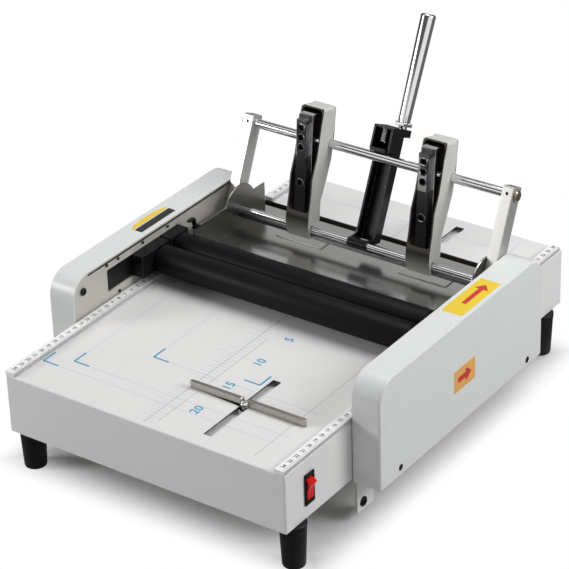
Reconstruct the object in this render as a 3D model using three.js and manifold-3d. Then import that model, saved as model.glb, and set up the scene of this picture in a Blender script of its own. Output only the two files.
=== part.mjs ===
// Desktop booklet maker: paper lies flat on two tables, is stapled under two heads that a long
// handle presses, and is folded when a blade pushes it up between two rubber rollers.
// Lengths are in millimetres. While it is put together, x runs across the machine, y from the
// front to the rear with zero on the fold line, and z up with zero on the table top.
import * as THREE from 'three';
import { mergeVertices } from 'three/addons/utils/BufferGeometryUtils.js';
import Module from 'manifold-3d';

const wasm = await Module();
wasm.setup();

// Sheet-metal box, in two halves
const sheet = 1.5;
const seatGap = 0.3;
const runningGap = 0.3;
const overrun = 10;
const tableWidth = 324.8;
const frontReach = 248;
const rearReach = 249;
const boxDepth = 62.6;
const bendRadius = 1.6;
const foldGap = 6;
const edgeFlange = 12;
const rearTableFront = 178;
const rearWallFront = 100;
const frontSlot = { centreX: 63.9, width: 9.2, frontInset: 18, length: 111 };
const rearSlot = { centreX: 49.5, width: 10 };
const rearSlotShares = { front: 0.24, rear: 0.785 };

// Base plate and feet
const basePlateThickness = 2;
const bladeGuide = { inset: 7.4, width: 8, depth: 12, top: -12.4 };
const foot = { height: 48, topRadius: 13.5, bottomRadius: 11.25, edge: 1.2 };
const footInset = { side: 8.4, front: 22, rear: 27 };

// Centre plate with its upstanding lugs
const centrePlateRear = 168.5;
const centreEarRear = 148;
const lug = { inset: 12.4, thickness: 1.8, front: 36, rear: 160, height: 32, radius: 27 };
const anvilWindow = { near: 47, far: 104, front: 117, rear: 134 };
const anvil = { proud: 1, lip: 4, depth: 8 };

// Side plates and side covers
const plateStandOff = 1.8;
const plateThickness = 2.3;
const plateWindow = { front: -87, rear: 30, bottom: 12, top: 37 };
const plateTab = { length: 27.4, bottom: -101.5, corner: 1.5 };
const plateBoss = { radius: 6, reach: 125, drop: 30 };
const coverRimLead = 0.5;
const coverWidth = 31;
const cover = { front: -141.5, rear: 153, bottom: -66.7, top: 48.8, corner: 24, lowCorner: 3, edge: 2 };

// Rulers beside the paper
const ruler = { width: 11.4, top: 4.7, endGap: 1, rearInset: 5 };

// Rollers, their bearings and their drive
const rollerRadius = 15;
const rollerOffset = 15.2;
const rollerHeight = 21.5;
const rollerEdge = 1;
const shaftRadius = 6;
const shaftRecess = 3;
const bearing = { endGap: 1, overhang: 0.5 };
const frontBearing = { front: -47, rear: -2 };
const rearBearing = { front: -0.5, rear: 29.7 };
const gear = { teeth: 20, addendum: 1.2, dedendum: 1.6, plateGap: 1.5, width: 8 };
const toothWidthShares = { root: 0.27, pitch: 0.2, tip: 0.105 };
const pulley = { gap: 2, width: 8, radius: 20, flange: 1.2, flangeWidth: 1 };
const belt = { thickness: 1.2, margin: 1.3 };
const motor = { y: 60, z: -30, radius: 24, length: 68, edge: 2 };
const motorShaft = { radius: 4, depth: 12, pulleyRadius: 10 };

// Fold blade
const blade = { thickness: 1.2, top: -3, bottom: -45, guideEntry: 2.8, foot: 8 };

// Rods
const lowerRod = { y: 116, z: 21, radius: 3.75 };
const upperRod = { y: 153, z: 104, radius: 4.75 };
const rodEdge = 0.6;
const railBar = { front: 114.5, rear: 121.5, bottom: 11, top: 15.2 };

// Press arms, in their own leaning frame from the lower rod
const arm = { plateGap: 1.9, depth: 17, below: 9, above: 8.4, footCorner: 7.5, topCorner: 2 };
const rodScrew = { radius: 5.6, head: 3, dome: 1.2, shank: 2.4 };

// Lever channel and handle, in their own leaning frame: y is rear, z is up along the lever
const leverLean = THREE.MathUtils.degToRad(25.2);
const channel = { halfWidth: 11.5, wall: 2, hub: 5.2, top: 123, throat: 97.5, lip: -2, deepRear: 22.5 };
const stem = { front: 9.3, rear: 23, bottom: 4 };
const gusset = { halfWidth: 8, rear: 41.5, drop: 1.5, nose: 7.6, fillet: 5 };
const leverHandle = { rear: 35.8, bottom: 128.6, top: 241.5, lowRadius: 6.4, topRadius: 7.9, edge: 1.4 };
const handleStud = { radius: 2.6, depth: 8 };
const handleNut = { acrossFlats: 17.5, collarRadius: 4.4, collarHeight: 2.9 };
const saddle = { front: -5, height: 4.4, rodGap: 0.4 };
const spring = { rear: 2.2, coilRadius: 2.4, wireRadius: 0.5, turns: 8.5, stepsPerTurn: 8, sides: 5 };

// Stapler heads
const headWidth = 28;
const headCentres = { left: -70.7, right: 75.7 };
const casing = { wall: 1.6, chinWall: 1.2, bend: 6, reach: 58, height: 134.6, ahead: 7.9, under: 9.1 };
const casingStrip = 2.2;
const casingArch = { above: 5, ahead: 3.2 };
const chinShare = 0.216;
const casingFrontShares = [
  [0.0467, 0], [0, 0.1092], [0.0233, 0.1865], [0.1077, 0.3187], [0.1795, 0.4837],
  [0.3321, 0.6293], [0.4165, 0.7452], [0.5027, 0.8759], [0.6086, 1],
];
const casingRearShares = [
  [1, 0.9577], [0.9425, 0.7065], [0.833, 0.5386], [0.6607, 0.3923], [0.4758, 0.2489], [0.4327, 0.0906],
];
const magazine = { width: 12, depth: 8, foot: 20, height: 99.4, ahead: 2.7, step: 4, hub: 5.2, neck: 6.4 };
const magazineLean = Math.atan2(8.7, 99);
const magazineHole = { radius: 3.2, boss: 4.3, proud: 0.8, depth: 5 };
const magazineHoleShares = [0.313, 0.703, 0.81, 0.918];
const rail = { width: 16, topDepth: 9.4, waistDepth: 5, footDepth: 2.4 };
const railWaistShares = { high: 0.75, low: 0.36, foot: 0.05 };

// Paper stop on the front table
const stop = { slotPlace: 59.2, left: 0, endGap: 19, width: 5, ahead: 1.2, top: 7.2, edge: 0.5 };
const stopEye = { radius: 5, thickness: 1.5 };
const stopScrew = { shank: 4, head: 4.3, headHeight: 2.2, nut: 8, nutHeight: 4.5 };

// Switch on the right face of the box
const rocker = {
  frontInset: 36.6, z: -32, inset: 2.9, width: 9.8, height: 23, back: 3, waist: 5.4, tip: 7.6, slant: 2.2,
};
const rockerBackShare = 0.7;
const rockerTilt = THREE.MathUtils.degToRad(13);
const bezel = { width: 14.6, height: 33, proud: 1.7, depth: 14, wall: 1, swing: 0.6 };

// Power inlet on the rear face
const inlet = { x: -112, z: -33, width: 30, height: 23, proud: 2, depth: 20, rim: 3.4, corner: 2 };
const inletPin = { width: 2, height: 4.4, length: 12, pitch: 7, raise: 2 };

// Paper sensor beside the rear roller
const sensor = { width: 5, front: 28, rear: 45, rise: 12.7, thickness: 1.8, knee: 37.5, bend: 35.5 };

// Values that follow from the sizes above
const gussetTop = channel.top - gusset.drop;
const studBottom = gussetTop - handleStud.depth;
const tableHalf = tableWidth / 2;
const boxBottom = -boxDepth;
const footX = tableHalf - footInset.side;
const tableEdge = foldGap / 2;
const frontSlotFront = frontSlot.frontInset - frontReach;
const frontSlotRange = [frontSlotFront, frontSlotFront + frontSlot.length];
const rearTableDepth = rearReach - rearTableFront;
const rearSlotRange = [
  rearTableFront + rearSlotShares.front * rearTableDepth,
  rearTableFront + rearSlotShares.rear * rearTableDepth,
];
const stopY = frontSlotFront + stop.slotPlace;
const rockerY = rocker.frontInset - frontReach;
const plateInner = tableHalf + plateStandOff;
const plateOuter = plateInner + plateThickness;
const lugOuter = tableHalf - lug.inset;
const lugInner = lugOuter - lug.thickness;
const guideOuter = tableHalf - bladeGuide.inset;
const guideInner = guideOuter - bladeGuide.width;
const rulerInner = tableHalf - ruler.width;
const rollerHalfLength = lugOuter;
const bearingInner = rollerHalfLength + bearing.endGap;
const shaftLeftEnd = plateOuter - shaftRecess;
const armInner = lugOuter + seatGap;
const armOuter = plateInner - arm.plateGap;
const stopRight = rulerInner - stop.endGap;
const gearStart = plateOuter + gear.plateGap;
const gearEnd = gearStart + gear.width;
const coverInner = plateInner - coverRimLead;
const coverOuter = coverInner + coverWidth;
const pulleyStart = gearEnd + pulley.gap;
const pulleyEnd = pulleyStart + pulley.width;
const armLean = Math.atan2(upperRod.y - lowerRod.y, upperRod.z - lowerRod.z);
const armReach = Math.hypot(upperRod.y - lowerRod.y, upperRod.z - lowerRod.z);
const sideNames = { '-1': 'left', 1: 'right' };
const bothSides = [-1, 1];
const cornerShare = 1.5;
const roundSteps = 12;
const fineSteps = 16;
const wheelSteps = 10;
const cornerSteps = 5;
const smallSteps = 4;

function paint(color, roughness, metalness) {
  return new THREE.MeshStandardMaterial({ color, roughness, metalness });
}
const tableWhite = paint(0xdad8d3, 0.45, 0.1);
const coverGrey = paint(0xc6c9c8, 0.42, 0.1);
const plateGrey = paint(0xb9b6ae, 0.45, 0.3);
const stainless = paint(0xc4c4c2, 0.22, 1);
const chrome = paint(0xd6d7d8, 0.1, 1);
const darkSteel = paint(0x55565a, 0.35, 0.9);
const blackSteel = paint(0x17181a, 0.45, 0.5);
const blackRubber = paint(0x1b1c1e, 0.75, 0);
const blackPlastic = paint(0x141415, 0.5, 0);
const redPlastic = paint(0xd2181c, 0.3, 0);
const rulerWhite = paint(0xf0f0ec, 0.5, 0);
const headGrey = paint(0xb3b4b0, 0.5, 0.1);

// A closed geometry as a solid that can be joined and cut.
function toSolid(geometry) {
  geometry.deleteAttribute('normal');
  geometry.deleteAttribute('uv');
  const welded = mergeVertices(geometry);
  const corners = welded.index.array;
  const kept = [];
  for (let i = 0; i < corners.length; i += 3) {
    const [a, b, c] = corners.slice(i, i + 3);
    if (a !== b && b !== c && c !== a) {
      kept.push(a, b, c);
    }
  }
  return new wasm.Manifold(new wasm.Mesh({
    numProp: 3,
    vertProperties: new Float32Array(welded.attributes.position.array),
    triVerts: new Uint32Array(kept),
  }));
}

// A named mesh from a solid.
function piece(name, solid, material) {
  const result = solid.getMesh();
  const geometry = new THREE.BufferGeometry();
  geometry.setAttribute('position', new THREE.BufferAttribute(new Float32Array(result.vertProperties), 3));
  geometry.setIndex(new THREE.BufferAttribute(new Uint32Array(result.triVerts), 1));
  geometry.computeVertexNormals();
  const mesh = new THREE.Mesh(geometry, material);
  mesh.name = name;
  return mesh;
}

// The x range between two distances from the middle, on one side of the machine.
function across(side, near, far) {
  return side > 0 ? [near, far] : [-far, -near];
}

// A range around a centre.
function around(centre, width) {
  return [centre - width / 2, centre + width / 2];
}

function block([x0, x1], [y0, y1], [z0, z1]) {
  const geometry = new THREE.BoxGeometry(x1 - x0, y1 - y0, z1 - z0);
  geometry.translate((x0 + x1) / 2, (y0 + y1) / 2, (z0 + z1) / 2);
  return toSolid(geometry);
}

function outline(points) {
  return new THREE.Shape(points.map(([a, b]) => new THREE.Vector2(a, b)));
}

function disc(centreA, centreB, radius) {
  return new THREE.Shape().absarc(centreA, centreB, radius, 0, 2 * Math.PI);
}

// A rectangle with rounded corners, given its ranges and one radius for each corner in turn:
// low-low, high-low, high-high, low-high.
function roundedRectangle([a0, a1], [b0, b1], radii) {
  const [lowLow, highLow, highHigh, lowHigh] = radii;
  const shape = new THREE.Shape();
  shape.absarc(a0 + lowLow, b0 + lowLow, lowLow, Math.PI, 1.5 * Math.PI);
  shape.absarc(a1 - highLow, b0 + highLow, highLow, 1.5 * Math.PI, 2 * Math.PI);
  shape.absarc(a1 - highHigh, b1 - highHigh, highHigh, 0, 0.5 * Math.PI);
  shape.absarc(a0 + lowHigh, b1 - lowHigh, lowHigh, 0.5 * Math.PI, Math.PI);
  return shape;
}

function extrude(shape, depth, steps, edge = 0, edgeSteps = 2) {
  return new THREE.ExtrudeGeometry(shape, {
    depth: depth - 2 * edge,
    curveSegments: steps,
    bevelEnabled: edge > 0,
    bevelThickness: edge,
    bevelSize: edge,
    bevelOffset: -edge,
    bevelSegments: edgeSteps,
  }).translate(0, 0, edge);
}

// A y-z outline carried along x.
function alongX(shape, [x0, x1], steps = roundSteps, edge = 0, edgeSteps = 2) {
  const geometry = extrude(shape, x1 - x0, steps, edge, edgeSteps);
  const turn = new THREE.Matrix4().makeBasis(
    new THREE.Vector3(0, 1, 0),
    new THREE.Vector3(0, 0, 1),
    new THREE.Vector3(1, 0, 0),
  );
  geometry.applyMatrix4(turn);
  geometry.translate(x0, 0, 0);
  return toSolid(geometry);
}

// An x-z outline carried along y.
function alongY(shape, [y0, y1], steps = roundSteps, edge = 0, edgeSteps = 2) {
  const geometry = extrude(shape, y1 - y0, steps, edge, edgeSteps);
  geometry.rotateX(Math.PI / 2);
  geometry.translate(0, y1, 0);
  return toSolid(geometry);
}

// An x-y outline carried up.
function alongZ(shape, [z0, z1], steps = roundSteps, edge = 0, edgeSteps = 2) {
  const geometry = extrude(shape, z1 - z0, steps, edge, edgeSteps);
  geometry.translate(0, 0, z0);
  return toSolid(geometry);
}

// A closed profile of radius and height, turned about an upright axis.
function turned(profile, segments = 2 * roundSteps) {
  const points = profile.map(([radius, height]) => new THREE.Vector2(radius, height));
  const geometry = new THREE.LatheGeometry(points, segments);
  geometry.rotateX(Math.PI / 2);
  return geometry;
}

// A box with every edge rounded.
function softBlock(xRange, yRange, zRange, radius) {
  const corner = cornerShare * radius;
  return alongZ(roundedRectangle(xRange, yRange, [corner, corner, corner, corner]), zRange, 2, radius, 2);
}

function frontTable() {
  const outerX = [-tableHalf, tableHalf];
  const innerX = [-tableHalf + sheet, tableHalf - sheet];
  const outer = softBlock(outerX, [-frontReach, overrun], [boxBottom - overrun, 0], bendRadius);
  const inner = softBlock(
    innerX,
    [-frontReach + sheet, 2 * overrun],
    [boxBottom - 2 * overrun, -sheet],
    bendRadius - sheet / 2,
  );
  const wide = [-tableHalf - overrun, tableHalf + overrun];
  const belowBox = block(wide, [-frontReach - overrun, 2 * overrun], [boxBottom - 2 * overrun, boxBottom]);
  const behindTable = block(wide, [-tableEdge, 2 * overrun], [boxBottom - overrun, overrun]);
  const slot = block(
    around(frontSlot.centreX, frontSlot.width),
    frontSlotRange,
    [-overrun, overrun],
  );
  const switchHole = block(
    [tableHalf - overrun, tableHalf + overrun],
    around(rockerY, bezel.width - 2 * bezel.wall),
    around(rocker.z, bezel.height - 2 * bezel.wall),
  );
  const flange = block(
    [-tableHalf + sheet / 2, tableHalf - sheet / 2],
    [-tableEdge - sheet, -tableEdge],
    [-edgeFlange, -sheet / 2],
  );
  return outer.subtract(inner).add(flange).subtract(belowBox).subtract(behindTable)
    .subtract(slot).subtract(switchHole);
}

function rearTable() {
  const outer = softBlock(
    [-tableHalf, tableHalf],
    [rearWallFront - overrun, rearReach],
    [boxBottom - overrun, 0],
    bendRadius,
  );
  const inner = softBlock(
    [-tableHalf + sheet, tableHalf - sheet],
    [rearWallFront - 2 * overrun, rearReach - sheet],
    [boxBottom - 2 * overrun, -sheet],
    bendRadius - sheet / 2,
  );
  const wide = [-tableHalf - overrun, tableHalf + overrun];
  const belowBox = block(
    wide,
    [rearWallFront - 2 * overrun, rearReach + overrun],
    [boxBottom - 2 * overrun, boxBottom],
  );
  const aheadOfWalls = block(
    wide,
    [rearWallFront - 2 * overrun, rearWallFront],
    [boxBottom - overrun, overrun],
  );
  const aheadOfTop = block(
    wide,
    [rearWallFront - overrun, rearTableFront],
    [-sheet - seatGap, overrun],
  );
  const slot = block(
    around(rearSlot.centreX, rearSlot.width),
    rearSlotRange,
    [-overrun, overrun],
  );
  const inletHole = block(
    around(inlet.x, inlet.width - 2 * inlet.rim + 2 * seatGap),
    [rearReach - overrun, rearReach + overrun],
    around(inlet.z, inlet.height - 2 * inlet.rim + 2 * seatGap),
  );
  const flange = block(
    [-tableHalf + sheet / 2, tableHalf - sheet / 2],
    [rearTableFront, rearTableFront + sheet],
    [-edgeFlange, -sheet / 2],
  );
  return outer.subtract(inner).subtract(aheadOfTop).add(flange).subtract(belowBox)
    .subtract(aheadOfWalls).subtract(slot).subtract(inletHole);
}

// The base plate closes the box from below and carries the two guides of the fold blade.
function basePlate() {
  const wallInset = sheet + seatGap;
  const halfWidth = tableHalf - wallInset;
  const top = boxBottom + basePlateThickness;
  const corner = 2 * bendRadius;
  let solid = alongZ(
    roundedRectangle(
      [-halfWidth, halfWidth],
      [-frontReach + wallInset, rearReach - wallInset],
      [corner, corner, corner, corner],
    ),
    [boxBottom, top],
    1,
  );
  for (const side of bothSides) {
    const guide = block(
      across(side, guideInner, guideOuter),
      around(0, bladeGuide.depth),
      [top - basePlateThickness / 2, bladeGuide.top],
    );
    const groove = block(
      across(side, guideInner - overrun, guideInner + blade.guideEntry + seatGap),
      around(0, blade.thickness + 2 * seatGap),
      [blade.bottom - seatGap, overrun],
    );
    const footRecess = block(
      across(side, guideInner - overrun, guideInner + blade.guideEntry + seatGap),
      [0, blade.foot + overrun],
      [blade.bottom - seatGap, overrun],
    );
    solid = solid.add(guide.subtract(groove).subtract(footRecess));
  }
  return solid;
}

function footSolid(x, y) {
  const top = boxBottom - seatGap;
  const bottom = boxBottom - foot.height;
  const profile = [
    [0, bottom],
    [foot.bottomRadius - foot.edge, bottom],
    [foot.bottomRadius, bottom + foot.edge],
    [foot.topRadius, top],
    [0, top],
  ];
  return toSolid(turned(profile).translate(x, y, 0));
}

// The centre plate carries the two upstanding lugs that hold the rods.
function centrePlate() {
  const ear = plateInner - seatGap;
  const top = [-sheet, 0];
  const skirt = [-edgeFlange, -sheet / 2];
  const wide = [-ear, ear];
  const narrow = [-tableHalf, tableHalf];
  let solid = block(wide, [tableEdge, centreEarRear], top)
    .add(block(narrow, [centreEarRear - overrun, centrePlateRear], top))
    .add(block([-lugInner, lugInner], [tableEdge, tableEdge + sheet], skirt))
    .add(block([-lugInner, lugInner], [centrePlateRear - sheet, centrePlateRear], skirt));
  const below = block([-ear - overrun, ear + overrun], [0, centrePlateRear], [-overrun, -sheet / 2]);
  for (const side of bothSides) {
    const range = across(side, lugInner, lugOuter);
    const wall = block(range, [lug.front, lug.rear], [-sheet / 2, lug.height]);
    const round = alongX(disc(lowerRod.y, lowerRod.z, lug.radius), range, roundSteps);
    const bore = alongX(
      disc(lowerRod.y, lowerRod.z, lowerRod.radius + seatGap),
      across(side, lugInner - overrun, lugOuter + overrun),
    );
    const window = block(
      across(side, anvilWindow.near, anvilWindow.far),
      [anvilWindow.front, anvilWindow.rear],
      [-overrun, overrun],
    );
    solid = solid.add(wall.add(round.subtract(below))).subtract(bore).subtract(window);
  }
  return solid;
}

// A staple anvil fills its window from below and rests against the underside of the plate.
function anvilSolid(side) {
  const flange = block(
    across(side, anvilWindow.near - anvil.lip, anvilWindow.far + anvil.lip),
    [anvilWindow.front - anvil.lip, anvilWindow.rear + anvil.lip],
    [-anvil.depth, -sheet - seatGap],
  );
  const bed = block(
    across(side, anvilWindow.near + seatGap, anvilWindow.far - seatGap),
    [anvilWindow.front + seatGap, anvilWindow.rear - seatGap],
    [-anvil.depth, anvil.proud],
  );
  return flange.add(bed);
}

function sidePlate(side) {
  const inset = sheet + seatGap;
  const corner = cover.corner - inset;
  const range = across(side, plateInner, plateOuter);
  const through = across(side, plateInner - overrun, plateOuter + overrun);
  const front = cover.front + inset;
  const panel = alongX(
    roundedRectangle(
      [front, cover.rear - inset],
      [cover.bottom + inset, cover.top - inset],
      [cover.lowCorner, cover.lowCorner, corner, corner],
    ),
    range,
    cornerSteps,
  );
  const tab = alongX(
    roundedRectangle(
      [front, front + plateTab.length],
      [plateTab.bottom, cover.bottom + cover.corner],
      [plateTab.corner, plateTab.corner, sheet, sheet],
    ),
    range,
    smallSteps / 2,
  );
  const window = block(
    through,
    [plateWindow.front, plateWindow.rear],
    [plateWindow.bottom, plateWindow.top],
  );
  const rodBore = alongX(disc(lowerRod.y, lowerRod.z, lowerRod.radius + seatGap), through);
  const motorBore = alongX(disc(motor.y, motor.z, motorShaft.radius + 2 * seatGap), through);
  let solid = panel.add(tab).subtract(window).subtract(rodBore).subtract(motorBore);
  for (const reach of [-plateBoss.reach, plateBoss.reach]) {
    const boss = alongX(
      disc(reach, -plateBoss.drop, plateBoss.radius),
      across(side, tableHalf + seatGap, plateOuter),
    );
    solid = solid.add(boss);
  }
  return solid;
}

function sideCover(side) {
  const corners = [cover.lowCorner, cover.lowCorner, cover.corner, cover.corner];
  const outer = alongX(
    roundedRectangle([cover.front, cover.rear], [cover.bottom, cover.top], corners),
    across(side, coverInner - overrun, coverOuter),
    cornerSteps,
    cover.edge,
  );
  const inner = alongX(
    roundedRectangle(
      [cover.front + sheet, cover.rear - sheet],
      [cover.bottom + sheet, cover.top - sheet],
      corners.map((radius) => radius - sheet),
    ),
    across(side, coverInner - 2 * overrun, coverOuter - sheet),
    cornerSteps,
  );
  const middle = block(
    across(side, coverInner - 2 * overrun, coverInner),
    [cover.front - overrun, cover.rear + overrun],
    [cover.bottom - overrun, cover.top + overrun],
  );
  const front = cover.front + sheet;
  const tabWay = block(
    across(side, coverInner - overrun, plateOuter + seatGap),
    [front, front + plateTab.length + 2 * seatGap],
    [cover.bottom - overrun, cover.bottom + overrun],
  );
  return outer.subtract(inner).subtract(middle).subtract(tabWay);
}

function rulerSolid(side, [front, rear]) {
  const range = across(side, rulerInner, tableHalf);
  return block(range, [front, rear], [seatGap, ruler.top]);
}

// A rubber sleeve around its shaft; sleeves and shafts lie along x.
function rollerSleeve(y) {
  const range = [-rollerHalfLength, rollerHalfLength];
  const outer = alongX(disc(y, rollerHeight, rollerRadius), range, fineSteps, rollerEdge);
  const bore = alongX(
    disc(y, rollerHeight, shaftRadius + seatGap),
    [-rollerHalfLength - overrun, rollerHalfLength + overrun],
  );
  return outer.subtract(bore);
}

function bearingBlock(side, { front, rear }) {
  const range = across(side, bearingInner, plateOuter - bearing.overhang);
  const body = block(
    range,
    [front, rear],
    [plateWindow.bottom + seatGap, plateWindow.top - seatGap],
  );
  return body;
}

function bearingBore(side, y) {
  return alongX(
    disc(y, rollerHeight, shaftRadius + seatGap),
    across(side, bearingInner - overrun, plateOuter + overrun),
  );
}

// A spur gear outline around its own centre, with one tooth centred on the given angle.
function gearShape(centreY, firstAngle) {
  const pitch = 2 * Math.PI / gear.teeth;
  const tipRadius = rollerOffset + gear.addendum;
  const rootRadius = rollerOffset - gear.dedendum;
  const points = [];
  for (let tooth = 0; tooth < gear.teeth; tooth += 1) {
    const middle = firstAngle + tooth * pitch;
    const flank = [
      [-toothWidthShares.root, rootRadius],
      [-toothWidthShares.pitch, rollerOffset],
      [-toothWidthShares.tip, tipRadius],
      [toothWidthShares.tip, tipRadius],
      [toothWidthShares.pitch, rollerOffset],
      [toothWidthShares.root, rootRadius],
    ];
    for (const [share, radius] of flank) {
      const angle = middle + share * pitch;
      points.push([centreY + radius * Math.cos(angle), rollerHeight + radius * Math.sin(angle)]);
    }
  }
  return outline(points);
}

function shaftBore(y, z, radius) {
  return alongX(disc(y, z, radius), [tableHalf, coverOuter]);
}

function frontGear() {
  const halfPitch = Math.PI / gear.teeth;
  const teeth = alongX(gearShape(-rollerOffset, halfPitch), [gearStart, gearEnd]);
  return teeth.subtract(shaftBore(-rollerOffset, rollerHeight, shaftRadius + seatGap));
}

function pulleyWheel(y, z, radius) {
  const rim = pulley.flangeWidth;
  return alongX(disc(y, z, radius), [pulleyStart, pulleyEnd], wheelSteps)
    .add(alongX(disc(y, z, radius + pulley.flange), [pulleyStart, pulleyStart + rim], wheelSteps))
    .add(alongX(disc(y, z, radius + pulley.flange), [pulleyEnd - rim, pulleyEnd], wheelSteps));
}

function rearGearPulley() {
  const teeth = alongX(gearShape(rollerOffset, 0), [gearStart, gearEnd]);
  const neck = alongX(
    disc(rollerOffset, rollerHeight, 2 * shaftRadius),
    [gearStart + gear.width / 2, pulleyStart + pulley.width / 2],
  );
  return teeth.add(neck).add(pulleyWheel(rollerOffset, rollerHeight, pulley.radius))
    .subtract(shaftBore(rollerOffset, rollerHeight, shaftRadius + seatGap));
}

// The motor pulley with the motor's shaft.
function motorPulley() {
  const start = plateInner - seatGap - motorShaft.depth + seatGap;
  return pulleyWheel(motor.y, motor.z, motorShaft.pulleyRadius)
    .add(alongX(disc(motor.y, motor.z, motorShaft.radius), [start, pulleyEnd]));
}

function driveMotor() {
  const face = plateInner - seatGap;
  const canRange = [face - motor.length, face];
  const can = alongX(disc(motor.y, motor.z, motor.radius), canRange, wheelSteps, motor.edge);
  const bore = alongX(
    disc(motor.y, motor.z, motorShaft.radius + runningGap),
    [face - motorShaft.depth, face + overrun],
  );
  return can.subtract(bore);
}

// An open loop around the two pulleys at a given distance from their rims.
function beltLoop(distance) {
  const bigRadius = pulley.radius + distance;
  const smallRadius = motorShaft.pulleyRadius + distance;
  const deltaY = motor.y - rollerOffset;
  const deltaZ = motor.z - rollerHeight;
  const heading = Math.atan2(deltaZ, deltaY);
  const wrap = Math.acos((bigRadius - smallRadius) / Math.hypot(deltaY, deltaZ));
  const loop = new THREE.Shape();
  loop.absarc(rollerOffset, rollerHeight, bigRadius, heading + wrap, heading - wrap + 2 * Math.PI);
  loop.absarc(motor.y, motor.z, smallRadius, heading - wrap, heading + wrap);
  return loop;
}

function driveBelt() {
  const range = [pulleyStart + belt.margin, pulleyEnd - belt.margin];
  const cutRange = [pulleyStart - overrun, pulleyEnd + overrun];
  const outer = alongX(beltLoop(seatGap + belt.thickness), range, wheelSteps);
  return outer.subtract(alongX(beltLoop(seatGap), cutRange, wheelSteps));
}

function foldBlade() {
  const reach = guideInner + blade.guideEntry;
  const leaf = block([-reach, reach], around(0, blade.thickness), [blade.bottom, blade.top]);
  const footHalf = guideInner - seatGap;
  const footing = block(
    [-footHalf, footHalf],
    [0, blade.foot],
    [blade.bottom, blade.bottom + blade.thickness],
  );
  return leaf.add(footing);
}

function rod({ y, z, radius }, halfLength) {
  return alongX(disc(y, z, radius), [-halfLength, halfLength], roundSteps, rodEdge, 1);
}

// Arms stand in a frame at the lower rod, with z along the arm and y to its rear.
function pressArm(side) {
  const halfDepth = arm.depth / 2;
  const bar = alongX(
    roundedRectangle(
      [-halfDepth, halfDepth],
      [-arm.below, armReach + arm.above],
      [arm.footCorner, arm.footCorner, arm.topCorner, arm.topCorner],
    ),
    across(side, armInner, armOuter),
    smallSteps,
  );
  const through = across(side, armInner - overrun, armOuter + overrun);
  return bar.subtract(alongX(disc(0, 0, lowerRod.radius + runningGap), through))
    .subtract(alongX(disc(0, armReach, rodScrew.shank + seatGap), through));
}

// A round-headed screw that fixes the upper rod to an arm.
function rodScrewSolid(side) {
  const head = alongX(
    disc(0, armReach, rodScrew.radius),
    across(side, armOuter + seatGap, armOuter + seatGap + rodScrew.head),
    roundSteps,
    rodScrew.dome,
  );
  const shank = alongX(
    disc(0, armReach, rodScrew.shank),
    across(side, rollerHalfLength + seatGap, armOuter + 2 * seatGap),
  );
  return head.add(shank);
}

// The lever is a channel open to the front, with a tube round the lower rod at its foot.
function leverChannel() {
  const outerX = [-channel.halfWidth, channel.halfWidth];
  const innerHalf = channel.halfWidth - channel.wall;
  const side = outline([
    [0, -channel.hub],
    [channel.hub, 0],
    [stem.rear, stem.bottom],
    [stem.rear, channel.throat],
    [channel.deepRear, channel.top],
    [channel.lip, channel.top],
    [channel.lip, channel.throat],
    [stem.front, channel.throat],
    [stem.front, stem.bottom + channel.hub],
    [0, channel.hub],
  ]);
  const hollow = block(
    [-innerHalf, innerHalf],
    [channel.lip - overrun, stem.rear - channel.wall - channel.wall / 4],
    [-2 * channel.hub, channel.top - channel.wall],
  );
  const hub = alongX(disc(0, 0, channel.hub), outerX);
  const bore = alongX(
    disc(0, 0, lowerRod.radius + runningGap),
    [-channel.halfWidth - overrun, channel.halfWidth + overrun],
  );
  const underside = gussetTop - gusset.nose;
  const fillet = [];
  for (let step = 0; step <= smallSteps; step += 1) {
    const angle = step * Math.PI / 2 / smallSteps;
    fillet.push([
      stem.rear + gusset.fillet * (1 - Math.sin(angle)),
      underside - gusset.fillet * (1 - Math.cos(angle)),
    ]);
  }
  const brace = alongX(
    outline([
      [stem.rear - channel.wall, gussetTop],
      [gusset.rear, gussetTop],
      [gusset.rear, underside],
      ...fillet,
      [stem.rear - channel.wall, underside - gusset.fillet],
    ]),
    [-gusset.halfWidth, gusset.halfWidth],
  );
  const studHole = alongZ(
    disc(0, leverHandle.rear, handleStud.radius + seatGap),
    [studBottom - seatGap, channel.top + overrun],
    roundSteps / 2,
  );
  return alongX(side, outerX).subtract(hollow).add(hub).subtract(bore).add(brace).subtract(studHole);
}

function handleGrip() {
  const profile = [
    [0, studBottom],
    [handleStud.radius, studBottom],
    [handleStud.radius, leverHandle.bottom],
    [leverHandle.lowRadius - leverHandle.edge / 2, leverHandle.bottom],
    [leverHandle.lowRadius, leverHandle.bottom + leverHandle.edge / 2],
    [leverHandle.topRadius, leverHandle.top - leverHandle.edge],
    [leverHandle.topRadius - leverHandle.edge / 3, leverHandle.top - leverHandle.edge / 3],
    [leverHandle.topRadius - leverHandle.edge, leverHandle.top],
    [0, leverHandle.top],
  ];
  return toSolid(turned(profile).translate(0, leverHandle.rear, 0));
}

function handleNutSolid() {
  const cornerRadius = handleNut.acrossFlats / Math.sqrt(3);
  const points = [];
  for (let corner = 0; corner < 6; corner += 1) {
    const angle = corner * Math.PI / 3;
    points.push([cornerRadius * Math.cos(angle), leverHandle.rear + cornerRadius * Math.sin(angle)]);
  }
  const collarBottom = gussetTop + seatGap;
  const hexBottom = collarBottom + handleNut.collarHeight;
  const hex = alongZ(outline(points), [hexBottom, leverHandle.bottom - seatGap]);
  const collar = alongZ(
    disc(0, leverHandle.rear, handleNut.collarRadius),
    [collarBottom, (hexBottom + leverHandle.bottom) / 2],
    roundSteps / 2,
  );
  const bore = alongZ(
    disc(0, leverHandle.rear, handleStud.radius + seatGap),
    [gussetTop - overrun, leverHandle.bottom + overrun],
    roundSteps / 2,
  );
  return hex.add(collar).subtract(bore);
}

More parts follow.
